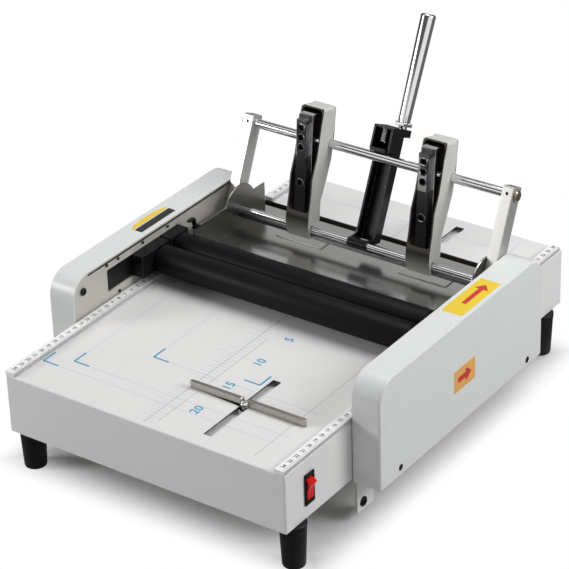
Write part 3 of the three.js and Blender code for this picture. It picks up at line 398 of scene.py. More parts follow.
def given_walls(piece, cut_material=0):
    """Gives a shell the thickness of its sheet, and its cut edges a material of their own."""
    walls = piece.modifiers.new("sheet", "SOLIDIFY")
    walls.thickness = sheet_thickness
    walls.offset = -1
    walls.material_offset_rim = cut_material
    rounded_edges(piece, 0.0002, limit_degrees=60)


front_box = folded_half(front_low, front_high, front_high.y)
slot_middle = 0.0639
slot_half = 0.0046
slot_front = front_low.y + 0.018
slot_rear = slot_front + 0.111
front_slot = (slot_middle - slot_half, slot_front, 0), (slot_middle + slot_half, slot_rear, 0)
cut_window(front_box, *front_slot, 2)
switch_low, switch_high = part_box("switch_bezel")
bezel_rim = Vector((0, 0.001, 0.001))
cut_window(front_box, switch_low + bezel_rim, switch_high - bezel_rim, 0)
front_table = mesh_object("front_table_sheet", front_box)
given_walls(front_table, 1)
dressed(front_table, table_paint, "base", "front_table")
gap_shade = grainy_paint("gap_shade", (0.030, 0.024, 0.020), 0.5, 900, 0.00006, 0.2)
front_table.data.materials.append(gap_shade)

rear_table_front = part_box("rear_ruler_left")[0].y
rear_corner = Vector((rear_low.x, rear_table_front, rear_low.z))
rear_box = folded_half(rear_corner, rear_high, rear_table_front)
wall_top = table_top - sheet_thickness - table_gap
sliced(rear_box, (0, 0, wall_top), (0, 0, 1))


def is_wall_end(v):
    """Whether a vertex is at the front end of a side wall, below the front table."""
    at_front = abs(v.co.y - rear_table_front) < touching
    return at_front and abs(v.co.x) > side_x - touching and v.co.z < wall_top + touching


wall_ends = [e for e in rear_box.edges if e.is_boundary and all(is_wall_end(v) for v in e.verts)]
wall_ends = bmesh.ops.extrude_edge_only(rear_box, edges=wall_ends)
draw_out(rear_box, wall_ends, (0, rear_low.y - rear_table_front, 0))
rear_slot_middle = 0.0495
rear_slot_half = 0.005
rear_depth = rear_high.y - rear_table_front
rear_slot_front = rear_table_front + 0.24 * rear_depth
rear_slot_rear = rear_table_front + 0.785 * rear_depth
rear_slot = (
    (rear_slot_middle - rear_slot_half, rear_slot_front, 0),
    (rear_slot_middle + rear_slot_half, rear_slot_rear, 0),
)
cut_window(rear_box, *rear_slot, 2)
inlet_low, inlet_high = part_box("power_inlet")
inlet_rim = Vector((0.003, 0, 0.003))
cut_window(rear_box, inlet_low + inlet_rim, inlet_high - inlet_rim, 1)
rear_table = mesh_object("rear_table_sheet", rear_box)
given_walls(rear_table, 1)
dressed(rear_table, table_paint, "base", "rear_table")
shade_depth = 0.0004
other_faces(rear_table, gap_shade, lambda centre, normal: centre.y < rear_table_front + shade_depth)


def refined(node, edge, segments=2):
    """A merged copy of a frame node with its edges broken, to stand for that node."""
    bm = bmesh.new()
    bm.from_mesh(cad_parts[node].data)
    bmesh.ops.remove_doubles(bm, verts=bm.verts, dist=touching)
    bmesh.ops.dissolve_limit(bm, angle_limit=math.radians(1), verts=bm.verts, edges=bm.edges)
    piece = mesh_object(node + "_finished", bm)
    rounded_edges(piece, edge, segments)
    return piece


def finished(node, edge, material, body, segments=2, slot=None):
    """A refined node with its material and body; its slot is passed on but not used."""
    return dressed(refined(node, edge, segments), material, body, node, slot=slot)


finished("base_plate", 0.0003, plate_paint, "base")


def plain_box(name, low, high, edge):
    """A small block with its edges broken."""
    bm = block(low, high)
    round_off(bm, bm.edges, edge, 2)
    piece = mesh_object(name, bm)
    smooth_shaded(piece)
    return piece


guide_top = table_top - 0.0066
guide_thickness = 0.0012
guide_margin = 0.004
guide_reach = 0.011
# The guides are whiter than the table paint: painted light that lifts the shade down in the slots.
guide_lit_white = grainy_paint("guide_lit_white", (0.93, 0.92, 0.91), 0.5, 900, 0.00003)
for guide_name, ((low_x, low_y, _), (high_x, high_y, _)) in (
    ("front_slot_guide", front_slot), ("rear_slot_guide", rear_slot),
):
    guide = plain_box(
        guide_name,
        (low_x - guide_reach, low_y - guide_margin, guide_top - guide_thickness),
        (high_x + guide_margin, high_y + guide_reach, guide_top),
        0.0002,
    )
    dressed(guide, guide_lit_white, "base", slot="table_paint")


# Scale marks on the front table: thin blue-grey lines screened on the paint, with a number
# every fifty millimetres from the fold line, and four corner brackets where sheets lie.
def flat_ink(name, colour, roughness):
    """Screen-printed ink, slightly uneven in its tone."""
    material, tree, body, place = new_material(name)
    darker = (*(0.86 * part for part in colour), 1)
    tone = colour_mix(tree, noise(tree, place, 260), darker, (*colour, 1))
    fill(tree, body, {"Roughness": roughness, "Base Color": tone})
    return material


blue_ink = flat_ink("blue_ink", (0.07, 0.38, 0.58), 0.5)
pale_ink = flat_ink("pale_ink", (0.48, 0.55, 0.60), 0.5)
black_ink = flat_ink("black_ink", (0.02, 0.02, 0.022), 0.5)
ink_film = 0.00004


def ink_line(bm, start, end, width, level=table_top):
    """Adds one printed line, a flat film of ink, between two points."""
    start, end = Vector(start), Vector(end)
    along = end - start
    line = bmesh.ops.create_cube(bm, size=1)["verts"]
    bmesh.ops.scale(bm, verts=line, vec=(along.length, width, ink_film))
    bmesh.ops.rotate(bm, verts=line, matrix=Matrix.Rotation(math.atan2(along.y, along.x), 3, "Z"))
    middle = (start + end) / 2
    bmesh.ops.translate(bm, verts=line, vec=(middle.x, middle.y, level + ink_film / 2))


def mesh_of_curve(curve):
    """Makes a mesh of a curve or a text."""
    holder = placed("holder", curve)
    graph = bpy.context.evaluated_depsgraph_get()
    mesh = bpy.data.meshes.new_from_object(holder.evaluated_get(graph))
    bpy.data.objects.remove(holder)
    bpy.data.curves.remove(curve)
    return mesh


def ink_number(bm, text, place, height, level=table_top):
    """Adds a printed number that reads from the machine's right side, centred on a place."""
    curve = bpy.data.curves.new("number", "FONT")
    curve.body = text
    curve.size = height * 1.4
    curve.align_x = "CENTER"
    curve.align_y = "CENTER"
    curve.resolution_u = 2
    curve.extrude = ink_film / 2
    curve.offset = height * 0.03
    mesh = mesh_of_curve(curve)
    middle = Matrix.Translation((place[0], place[1], level + ink_film / 2))
    mesh.transform(middle @ Matrix.Rotation(math.pi / 2, 4, "Z"))
    bm.from_mesh(mesh)
    bpy.data.meshes.remove(mesh)


def printed(name, marks, ink, slot="table_paint"):
    """A set of printed marks in one ink."""
    dressed(mesh_object(name, marks), ink, "base", slot=slot)


fold_line = front_high.y + 0.003
scale_x = 0.0005
scale_rear = fold_line - 0.012
scale_front = fold_line - 0.243
scale_number_x = 0.030
scale_number_height = 0.0097
centimetre = 0.01
plain_line = 0.0004
fine_line = 0.00035
scale_marks = bmesh.new()
ink_line(scale_marks, (scale_x, scale_rear), (scale_x, scale_front), plain_line)
for number in range(5, 25, 5):
    number_place = (scale_number_x, fold_line - centimetre * number)
    ink_number(scale_marks, str(number), number_place, scale_number_height)
bracket_arm = 0.0185
bracket_stroke = 0.0021
brackets = [(-0.1485, -0.208, 1), (-0.1225, -0.193, 1), (-0.0625, -0.146, 1), (0.054, -0.1335, -1)]
for bracket_x, bracket_y, way in brackets:
    corner = Vector((bracket_x, fold_line + bracket_y))
    for arm in ((way * bracket_arm, 0), (0, bracket_arm)):
        ink_line(scale_marks, corner, corner + Vector(arm), bracket_stroke)
printed("scale_print", scale_marks, blue_ink)

long_tick = 0.02
middle_tick = 0.012
short_tick = 0.007
bracket_clear = 0.022
lines_right = 0.13
guide_marks = bmesh.new()
for tick in range(2, 49):
    reach = long_tick if tick % 10 == 0 else middle_tick if tick % 2 == 0 else short_tick
    tick_y = fold_line - centimetre / 2 * tick
    tick_ends = (scale_x - reach, tick_y), (scale_x + reach * 0.9, tick_y)
    ink_line(guide_marks, *tick_ends, fine_line)
for bracket_x, bracket_y, way in brackets[:3]:
    x, y = bracket_x + bracket_clear, fold_line + bracket_y
    ink_line(guide_marks, (x, y), (lines_right, y), plain_line)
    x, y = bracket_x, y + bracket_clear
    ink_line(guide_marks, (x, y), (x, fold_line - 0.05), plain_line)
crease_width = 0.0013
crease_marks = bmesh.new()
for line_x in (0.011, 0.120):
    crease_ends = (line_x, fold_line - 0.235), (line_x, fold_line - 0.06)
    ink_line(crease_marks, *crease_ends, crease_width)
crease_ink = flat_ink("crease_ink", (0.68, 0.66, 0.635), 0.5)
printed("crease_print", crease_marks, crease_ink)
rear_middle = (rear_table_front + rear_high.y) / 2
lines_front = rear_table_front + 0.004
scale_end = (scale_x, rear_high.y - 0.006)
ink_line(guide_marks, (scale_x, lines_front), scale_end, plain_line, rear_high.z)
for tick in range(13):
    reach = middle_tick if tick % 2 == 0 else short_tick
    tick_y = rear_table_front + 0.006 + centimetre / 2 * tick
    tick_ends = (scale_x - reach, tick_y), (scale_x + reach, tick_y)
    ink_line(guide_marks, *tick_ends, fine_line, rear_high.z)
for line_x in (-0.126, 0.024, 0.120):
    line_end = (line_x, rear_high.y - 0.012)
    ink_line(guide_marks, (line_x, lines_front), line_end, plain_line, rear_high.z)
cross_ends = (-0.126, rear_middle), (lines_right, rear_middle)
ink_line(guide_marks, *cross_ends, plain_line, rear_high.z)
printed("guide_print", guide_marks, pale_ink)


# Rulers: white plastic strips stuck along both edges of the tables, with black numbers a
# centimetre apart that count from the fold line, and millimetre ticks beside them.
def moulded_plastic(name, colour, roughness, grain=1200, depth=0.00003, shine=0.5):
    """Moulded plastic with the fine spark grain of its tool."""
    material, tree, body, place = new_material(name)
    handling = noise(tree, place, 35, 4)
    sheen = ranged(tree, handling, roughness - 0.08, roughness + 0.1)
    fill(tree, body, {"Base Color": (*colour, 1), "Specular IOR Level": shine, "Roughness": sheen})
    relief(tree, body, noise(tree, place, grain), 0.3, depth)
    return material


white_plastic = moulded_plastic("white_plastic", (0.90, 0.90, 0.89), 0.4)
# Mid grey for the rulers' long side faces: painted shade on the white plastic.
ruler_side = moulded_plastic("ruler_side", (0.50, 0.50, 0.50), 0.4)
sides = {"left": -1, "right": 1}
ruler_prints = bmesh.new()
millimetre = 0.001
ruler_tick_width = 0.00013
number_height = 0.0039
for row_name, way in (("front", -1), ("rear", 1)):
    for side_name in sides:
        node = f"{row_name}_ruler_{side_name}"
        strip = finished(node, 0.0006, white_plastic, "base", 3)
        other_faces(strip, ruler_side, lambda centre, normal: abs(normal.x) > 0.5)
        strip_low, strip_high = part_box(node)
        number_x = strip_low.x + 0.0056
        first, last = sorted(abs(y - fold_line) / millimetre for y in (strip_low.y, strip_high.y))
        first, last = math.ceil(first), math.floor(last)
        for place in range(first + 1, last):
            tick_y = fold_line + way * millimetre * place
            tick = 0.0034 if place % 10 == 0 else 0.0028 if place % 5 == 0 else 0.002
            tick_x = strip_high.x - 0.0008
            tick_ends = (tick_x, tick_y), (tick_x - tick, tick_y)
            ink_line(ruler_prints, *tick_ends, ruler_tick_width, strip_high.z)
            if place % 10 == 0 and first + 3 < place < last - 2:
                number = str(place // 10)
                ink_number(ruler_prints, number, (number_x, tick_y), number_height, strip_high.z)
printed("ruler_print", ruler_prints, black_ink, "white_plastic")


# Feet: four tapered black rubber bushes, screwed up into the base plate, with a moulded
# ring near the top and a chamfered sole.
def turned(name, profile, centre, axis, steps=64):
    """A round piece: a profile of (radius, place along the axis) spun once about the axis."""
    axis = Vector(axis).normalized()
    outward = axis.orthogonal().normalized()
    bm = bmesh.new()
    centre = Vector(centre)
    ring = [bm.verts.new(centre + axis * along + outward * radius) for radius, along in profile]
    edges = [bm.edges.new(pair) for pair in zip(ring, ring[1:])]
    if profile[0][0] > 0:
        edges.append(bm.edges.new((ring[-1], ring[0])))
    turn = {"cent": centre, "axis": axis, "angle": 2 * math.pi, "steps": steps}
    bmesh.ops.spin(bm, geom=ring + edges, use_merge=True, **turn)
    bmesh.ops.remove_doubles(bm, verts=bm.verts, dist=0.000002)
    bmesh.ops.recalc_face_normals(bm, faces=bm.faces)
    piece = mesh_object(name, bm)
    smooth_shaded(piece)
    return piece


black_foot = moulded_plastic("black_foot", (0.009, 0.009, 0.010), 0.45, 700, 0.00005, 0.25)
for row_name in ("front", "rear"):
    for side_name in sides:
        node = f"{row_name}_foot_{side_name}"
        foot_low, foot_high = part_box(node)
        middle = middle_of(node)
        top_radius = (foot_high.x - foot_low.x) / 2
        sole_radius = top_radius * 0.833
        tall = foot_high.z
        foot_profile = [
            (0, 0.0015), (sole_radius * 0.45, 0.0015), (sole_radius * 0.5, 0),
            (sole_radius - 0.0016, 0), (sole_radius - 0.0004, 0.0006), (sole_radius, 0.002),
            (top_radius - 0.0006, tall - 0.009), (top_radius - 0.0014, tall - 0.0084),
            (top_radius - 0.0014, tall - 0.0074), (top_radius - 0.0003, tall - 0.0068),
            (top_radius, tall - 0.0012), (top_radius - 0.0008, tall - 0.0002),
            (top_radius - 0.0016, tall), (0, tall),
        ]
        foot = turned(node + "_bush", foot_profile, (middle.x, middle.y, 0), (0, 0, 1))
        dressed(foot, black_foot, "base", node)


# Centre plate between the tables: bright brushed stainless steel, folded down at both ends,
# with two thin lugs turned up at its sides that carry the rods, and the staple anvils in it.
def brushed_metal(name, colour, roughness, stretch, depth=0.00002, streak=0.1):
    """Bare metal with the fine parallel scratches of a brushing belt."""
    material, tree, body, place = new_material(name)
    belt = add_node(tree, "Mapping", {"Vector": place, "Scale": stretch}).outputs["Vector"]
    scratches = noise(tree, belt, 1, 4)
    sheen = ranged(tree, scratches, roughness - streak, roughness + streak)
    fill(tree, body, {"Base Color": (*colour, 1), "Metallic": 1, "Roughness": sheen})
    relief(tree, body, scratches, 0.4, depth)
    return material


stainless = brushed_metal("stainless", (0.66, 0.65, 0.63), 0.2, (12, 900, 900), 0.000006, 0.05)
centre_plate = finished("centre_plate", 0.0003, stainless, "base")
# The lugs' side faces take a darker copy of the steel: painted shade between the lugs and the arms.
lug_shade_steel = brushed_metal("lug_shade_steel", (0.24, 0.235, 0.225), 0.3, (900, 60, 900), 0.000006, 0.05)
lug_foot = table_top + 0.002
other_faces(
    centre_plate, lug_shade_steel,
    lambda centre, normal: abs(normal.x) > 0.9 and centre.z > lug_foot,
)
finished("fold_blade", 0.0002, stainless, "fold_blade")
scribed_width = 0.0003
scribed_gap = 0.0012
scribed_length = 0.011
cross_line_gap = 0.004
cross_line_reach = 0.012
scribed = bmesh.new()
for side_name in sides:
    anvil = f"anvil_{side_name}"
    finished(anvil, 0.0005, stainless, "base")
    anvil_low, anvil_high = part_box(anvil)
    anvil_x = middle_of(anvil).x
    before = anvil_low.y - scribed_gap
    left_end = (anvil_low.x - cross_line_reach, before - cross_line_gap)
    right_end = (anvil_high.x + cross_line_reach, before - cross_line_gap)
    ink_line(scribed, left_end, right_end, scribed_width, anvil_high.z)
    front_end = (anvil_x, before - scribed_length)
    ink_line(scribed, front_end, (anvil_x, before), scribed_width, anvil_high.z)
printed("scribed_lines", scribed, black_ink, "stainless")


# Side plates: flat steel plates in warm grey paint beside the rollers. Small black screws
# hold what is behind them, and each has a window in which the roller bearings slide.
for side_name, side in sides.items():
    plate = finished(f"side_plate_{side_name}", 0.0004, plate_paint, "base")
    # The outer faces take the paler table paint: painted light, lighter than the warm grey inner
    # faces.
    other_faces(plate, table_paint, lambda centre, normal: normal.x * side > 0.9)


# Side covers: deep-drawn steel shells in pale grey satin paint, closed all round but for the
# inner side, held by two black screws low on the outer face.
cover_paint = grainy_paint("cover_paint", (0.745, 0.765, 0.745), 0.27, 1100, 0.000015, 0.02)
black_plastic = moulded_plastic("black_plastic", (0.007, 0.007, 0.008), 0.36, shine=0.22)
cover_corner = 0.024
cover_low_corner = 0.003
cover_edge = 0.0024
film_room = 0.0003
tab_width = 0.028
plate_inner, plate_outer = (corner.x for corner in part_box("side_plate_right"))
cover_low, cover_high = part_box("side_cover_right")
half_way = middle_of("side_cover_right").z
inner_x = cover_low.x
outer_x = cover_high.x - film_room
for side_name, side in sides.items():
    node = f"side_cover_{side_name}"
    first_x, last_x = sorted((side * inner_x, side * outer_x))
    shell = block((first_x, cover_low.y, cover_low.z), (last_x, cover_high.y, cover_high.z))

    def runs_across(edge):
        return abs(edge.verts[0].co.x - edge.verts[1].co.x) > near

    upper = [e for e in shell.edges if runs_across(e) and e.verts[0].co.z > half_way]
    round_off(shell, upper, cover_corner, 16)
    bottom = cover_low.z + touching
    lower = [e for e in shell.edges if runs_across(e) and e.verts[0].co.z < bottom]
    round_off(shell, lower, cover_low_corner, 4)
    open_x = side * inner_x
    open_side = [f for f in shell.faces if abs(f.calc_center_median().x - open_x) < touching]
    bmesh.ops.delete(shell, geom=open_side, context="FACES")
    rim_x = side * outer_x
    rim = [e for e in shell.edges if all(abs(v.co.x - rim_x) < touching for v in e.verts)]
    round_off(shell, rim, cover_edge, 5)
    turned_outward(shell, Vector((side, 0, 0)))
    tab_front = cover_low.y + sheet_thickness
    first_x, last_x = sorted((side * inner_x, side * (plate_outer + table_gap)))
    tab_window = (first_x, tab_front, 0), (last_x, tab_front + tab_width, 0)
    cut_window(shell, *tab_window, 2, -1, 0)
    cover = mesh_object(f"{node}_shell", shell)
    given_walls(cover)
    dressed(cover, cover_paint, "base", node)


def black_screw(name, centre, axis, radius, height, body="base"):
    """A black socket screw: a low domed head with a round socket."""
    head_profile = [
        (0, height * 0.25), (radius * 0.42, height * 0.25), (radius * 0.46, height * 0.92),
        (radius * 0.55, height), (radius * 0.8, height * 0.88), (radius * 0.95, height * 0.6),
        (radius, height * 0.25), (radius, -0.0005), (0, -0.0005),
    ]
    head = turned(name, head_profile, centre, axis, 32)
    dressed(head, black_plastic, body)


cover_screws = [(-0.1074, -0.0571), (0.125, -0.0589)]
plate_screws = [
    (-0.0878, 0.0435), (-0.0698, 0.0431), (-0.0295, 0.0429), (0.0114, 0.0427), (-0.0705, 0.0067),
]
plate_plug = [(-0.1259, 0.032)]
tab_screw = [(-0.1297, -0.0924)]
for side_name, side in sides.items():
    for name, places, face, way, radius, height in (
        ("cover_screw", cover_screws, outer_x, side, 0.0034, 0.00025),
        ("plate_screw", plate_screws, plate_inner, -side, 0.0016, 0.0003),
        ("plate_plug", plate_plug, plate_inner, -side, 0.004, 0.0012),
        ("tab_screw", tab_screw, plate_outer, side, 0.0052, 0.002),
    ):
        for which, (y, z) in enumerate(places):
            centre = (side * face, fold_line + y, table_top + z)
            number = f"_{which}" if len(places) > 1 else ""
            black_screw(f"{name}_{side_name}{number}", centre, (way, 0, 0), radius, height)


# Stickers on the covers: plain colour films with plain arrows that show which way the paper
# runs, and a banded label on the left cover. A thin black strip beside each plate paints the
# shadow in the gap between cover and plate.
def round_outline(length, width, corner):
    """The outline of a rectangle with round corners, about its middle."""
    points = []
    for quarter, (way_u, way_v) in enumerate([(1, 1), (-1, 1), (-1, -1), (1, -1)]):
        for step in range(6):
            turn = math.radians(90 * quarter + 18 * step)
            points.append((
                way_u * (length / 2 - corner) + corner * math.cos(turn),
                way_v * (width / 2 - corner) + corner * math.sin(turn),
            ))
    return points


def arrow_outline(length, shaft, head):
    """The outline of an arrow that points along u, about its middle."""
    neck = length / 2 - head
    return [
        (-length / 2, -shaft / 2), (neck, -shaft / 2), (neck, -head * 0.8), (length / 2, 0),
        (neck, head * 0.8), (neck, shaft / 2), (-length / 2, shaft / 2),
    ]


def surface_place(centre, along, across):
    """A matrix that lays (u, v) on a surface, u along one direction and v across."""
    along, across = Vector(along), Vector(across)
    axes = Matrix((along, across, along.cross(across))).transposed().to_4x4()
    return Matrix.Translation(centre) @ axes


def sticker(name, outline, thickness, place, ink):
    """A thin film of one colour, laid on a cover by a matrix."""
    bm = bmesh.new()
    under = bm.faces.new([bm.verts.new(place @ Vector((u, v, 0))) for u, v in outline])
    raised = bmesh.ops.extrude_face_region(bm, geom=[under])
    draw_out(bm, raised, place.to_3x3() @ Vector((0, 0, thickness)))
    bmesh.ops.recalc_face_normals(bm, faces=bm.faces)
    printed(name, bm, ink, "cover_paint")


sticker_film = 0.00012
arrow_film = sticker_film + ink_film
orange_ink = flat_ink("orange_ink", (0.90, 0.46, 0.12), 0.35)
yellow_ink = flat_ink("yellow_ink", (0.92, 0.66, 0.04), 0.35)
red_ink = flat_ink("red_ink", (0.66, 0.035, 0.03), 0.35)
white_ink = flat_ink("white_ink", (0.80, 0.80, 0.79), 0.35)
sticker_corner = 0.0008
side_centre = (outer_x, fold_line + 0.0056, table_top - 0.015)
side_place = surface_place(side_centre, (0, 1, 0), (0, 0, 1))
side_outline = round_outline(0.0384, 0.024, sticker_corner)
sticker("side_sticker", side_outline, sticker_film, side_place, orange_ink)
side_arrow = arrow_outline(0.024, 0.006, 0.010)
sticker("side_arrow", side_arrow, arrow_film, side_place, red_ink)


def cover_top_place(x, y):
    """A place on top of a cover, u towards the rear."""
    return surface_place((x, fold_line + y, cover_high.z), (0, 1, 0), (-1, 0, 0))


top_outline = round_outline(0.0725, 0.023, sticker_corner)
top_sticker_x = 0.1795
sticker_place = cover_top_place(top_sticker_x, 0.0418)
sticker("top_sticker", top_outline, sticker_film, sticker_place, yellow_ink)
top_arrow = arrow_outline(0.042, 0.005, 0.0095)
sticker("top_arrow", top_arrow, arrow_film, cover_top_place(top_sticker_x, 0.048), red_ink)
label_y = 0.0060
label_length = 0.0592
band_depth = 0.0068
half_oval = []
for step in range(25):
    turn = math.radians(7.5 * step)
    half_oval.append((label_length / 2 * math.cos(turn), band_depth * math.sin(turn)))
sticker("label_band", half_oval, sticker_film, cover_top_place(-0.1808, label_y), yellow_ink)
label_place = cover_top_place(-0.1745, label_y)
label_corner = 0.0006
label_outline = round_outline(label_length, 0.0118, label_corner)
sticker("label_border", label_outline, sticker_film, label_place, white_ink)
dark_outline = round_outline(label_length - 0.0024, 0.0094, label_corner)
sticker("label_dark", dark_outline, arrow_film, label_place, black_ink)


def black_strips(name, inner_x, outer_x, low, high, edge):
    """A black strip on each side of the machine, its low and high corners given as (y, z)."""
    for side_name, side in sides.items():
        first_x, last_x = sorted((side * inner_x, side * outer_x))
        strip = plain_box(f"{name}_{side_name}", (first_x, *low), (last_x, *high), edge)
        dressed(strip, black_plastic, "base")


# A thin black strip under each cover's top, beside the plate: painted shadow in the gap.
gap_shadow_top = cover_high.z - sheet_thickness - 0.0002
gap_shadow_depth = 0.0014
gap_shadow_low = (cover_low.y + cover_corner, gap_shadow_top - gap_shadow_depth)
gap_shadow_high = (cover_high.y - cover_corner, gap_shadow_top)
black_strips("gap_shadow", plate_inner - 0.0003, plate_inner + 0.0002, gap_shadow_low, gap_shadow_high, 0.0001)


# Rollers: ground black rubber sleeves on steel shafts, in black plastic bearing blocks, with
# black strips behind the blocks that paint the shade in the plates' windows. What drives them
# is behind the right plate.
def ground_rubber(name, colour, roughness):
    """Black rubber, ground round: faint rings along the roller and a soft dusty sheen."""
    material, tree, body, place = new_material(name)
    rings = add_node(tree, "Mapping", {"Vector": place, "Scale": (1400, 60, 60)}).outputs["Vector"]
    dust = noise(tree, place, 45, 6)
    lighter = (*(1.5 * part for part in colour), 1)
    tone = colour_mix(tree, dust, (*colour, 1), lighter)
    sheen = ranged(tree, dust, roughness - 0.08, roughness + 0.08)
    fill(tree, body, {"Specular IOR Level": 0.11, "Base Color": tone, "Roughness": sheen})
    relief(tree, body, noise(tree, rings, 1, 3), 0.3, 0.00004)
    return material


black_rubber = ground_rubber("black_rubber", (0.0045, 0.0048, 0.0055), 0.48)
dark_steel = brushed_metal("dark_steel", (0.16, 0.155, 0.155), 0.32, (700, 60, 60), 0.00001)


def on_axle(node):
    """The point where the axis of a round piece across the machine passes x = 0."""
    middle = middle_of(node)
    return Vector((0, middle.y, middle.z))


def bar_along_x(node, edge, steps, material, body):
    """A round bar across the machine, with its ends chamfered."""
    low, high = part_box(node)
    radius = (high.z - low.z) / 2
    profile = [
        (0, low.x), (radius - edge, low.x), (radius, low.x + edge),
        (radius, high.x - edge), (radius - edge, high.x), (0, high.x),
    ]
    bar = turned(node + "_bar", profile, on_axle(node), (1, 0, 0), steps)
    dressed(bar, material, body, node)


shaft_radius = 0.006
lip = 0.0012
soft_lip = 0.3 * lip
for node in ("front_roller", "rear_roller"):
    roller_low, roller_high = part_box(node)
    radius = (roller_high.z - roller_low.z) / 2
    bore = shaft_radius + table_gap
    half = roller_high.x
    sleeve_end = [
        (bore, half), (radius - lip, half), (radius - soft_lip, half - soft_lip),
        (radius, half - lip),
    ]
    sleeve_profile = [(reach, -along) for reach, along in sleeve_end] + sleeve_end[::-1]
    sleeve = turned(node + "_sleeve", sleeve_profile, on_axle(node), (1, 0, 0), 96)
    dressed(sleeve, black_rubber, node, node)
    bar_along_x(node.replace("roller", "shaft"), 0.0008, 48, dark_steel, node)
finished("front_gear", 0.0002, dark_steel, "front_roller")
finished("rear_gear_pulley", 0.0002, dark_steel, "rear_roller")
finished("motor_pulley", 0.0002, dark_steel, "motor_rotor")
finished("drive_motor", 0.0002, dark_steel, "base")
finished("drive_belt", 0.0002, black_rubber, "base")
for side_name in sides:
    for row_name, body in (("front", "roller_carriage"), ("rear", "base")):
        finished(f"{row_name}_bearing_{side_name}", 0.0008, black_plastic, body)
# Black strips behind the bearing blocks: painted shade in the side plates' windows.
window_shade_gap = 0.0006
window_shade_thickness = 0.0008
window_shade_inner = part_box("front_bearing_right")[1].x + window_shade_gap
window_shade_outer = window_shade_inner + window_shade_thickness
window_shade_low = (fold_line - 0.090, table_top + 0.008)
window_shade_high = (fold_line + 0.032, table_top + 0.041)
black_strips("window_shade", window_shade_inner, window_shade_outer, window_shade_low, window_shade_high, 0.0002)


# Rods, press arms and rail: chromed round bars between the lugs and through the stapler
# heads, flat plated arms that lean back to the upper rod, and a dark flat bar below.
def polished_metal(name, colour, roughness):
    """Bright plated metal with a few soft smudges from hands."""
    material, tree, body, place = new_material(name)
    smudge = noise(tree, place, 70, 6, 0.65)
    sheen = ranged(tree, smudge, roughness, roughness + 0.05, 0.35, 0.75)
    fill(tree, body, {"Base Color": (*colour, 1), "Metallic": 1, "Roughness": sheen})
    return material


chrome = polished_metal("chrome", (0.78, 0.78, 0.79), 0.06)
bar_along_x("lower_rod", 0.0006, 64, chrome, "base")
bar_along_x("upper_rod", 0.0006, 64, chrome, "press_frame")
finished("rail_bar", 0.0004, dark_steel, "base")
arm_steel = brushed_metal("arm_steel", (0.60, 0.59, 0.57), 0.38, (600, 600, 25), 0.000008, 0.06)
# A paler, rougher copy of the arm steel for the arms' side faces: painted light on the sides.
arm_side = brushed_metal("arm_side", (0.66, 0.65, 0.64), 0.58, (400, 400, 120), 0.00002, 0.12)
bronze = polished_metal("bronze", (0.46, 0.40, 0.32), 0.24)
for side_name in sides:
    arm = finished(f"press_arm_{side_name}", 0.0007, arm_steel, "press_frame", 3, "chrome")
    other_faces(arm, arm_side, lambda centre, normal: abs(normal.x) > 0.9)
    finished(f"rod_screw_{side_name}", 0.0003, bronze, "press_frame", slot="chrome")


def leaning_place(foot, lean):
    """A matrix at a point, that leans back by an angle."""
    return Matrix.Translation(foot) @ Matrix.Rotation(-lean, 4, "X")


arm_lean = math.radians(24.03)
arm_place = leaning_place(on_axle("lower_rod"), arm_lean)
arm_half_depth = 0.0085
set_screw_height = 0.0915
arm_front = arm_place.to_3x3() @ Vector((0, -1, 0))
for side_name in sides:
    arm_x = middle_of(f"press_arm_{side_name}").x
    front = arm_place @ Vector((arm_x, -arm_half_depth, set_screw_height))
    black_screw(f"set_screw_{side_name}", front, arm_front, 0.0017, 0.0002, "press_frame")


# Lever: a black folded channel on the lower rod, open to the front, with a sprung saddle on
# the upper rod and a gusset that carries the chromed handle on its stud and nut.
lever_lean = math.radians(25.2)
lever_place = leaning_place(on_axle("lower_rod"), lever_lean)
lever_axis = lever_place.to_3x3() @ Vector((0, 0, 1))
black_steel = grainy_paint("black_steel", (0.006, 0.006, 0.007), 0.24, 1000, 0.00001, 0.1, 0.22)
edge_highlight_steel = brushed_metal("edge_highlight_steel", (0.80, 0.80, 0.79), 0.4, (300, 300, 300), 0.00001, 0.08)
channel = finished("lever_channel", 0.0007, black_steel, "press_frame", 3)
# Every rounded edge of the channel takes bright steel: bare cut metal on the flanges' front edges,
# painted highlight along the other edges.
channel.data.materials.append(edge_highlight_steel)
channel.modifiers["edge"].material = 1
grip_y = 0.0358
grip_bottom = 0.1286
grip_top = 0.2415
grip_low_radius = 0.0064
grip_top_radius = 0.0079
grip_round = 0.0022
stud_bottom = 0.1135
stud_radius = 0.0026
grip_profile = [
    (0, stud_bottom), (stud_radius, stud_bottom), (stud_radius, grip_bottom),
    (grip_low_radius - 0.0009, grip_bottom), (grip_low_radius, grip_bottom + 0.0009),
]
for step in range(7):
    turn = math.radians(15 * step)
    rim = grip_top_radius - grip_round + grip_round * math.cos(turn)
    grip_profile.append((rim, grip_top - grip_round + grip_round * math.sin(turn)))
grip_profile.append((0, grip_top))
grip_foot = lever_place @ Vector((0, grip_y, 0))
grip = turned("handle_grip", grip_profile, grip_foot, lever_axis, 96)
dressed(grip, chrome, "press_frame", "handle")
finished("handle_nut", 0.0006, chrome, "press_frame", 3)
finished("rod_saddle", 0.0006, black_steel, "rod_saddle", 3, "dark_steel")


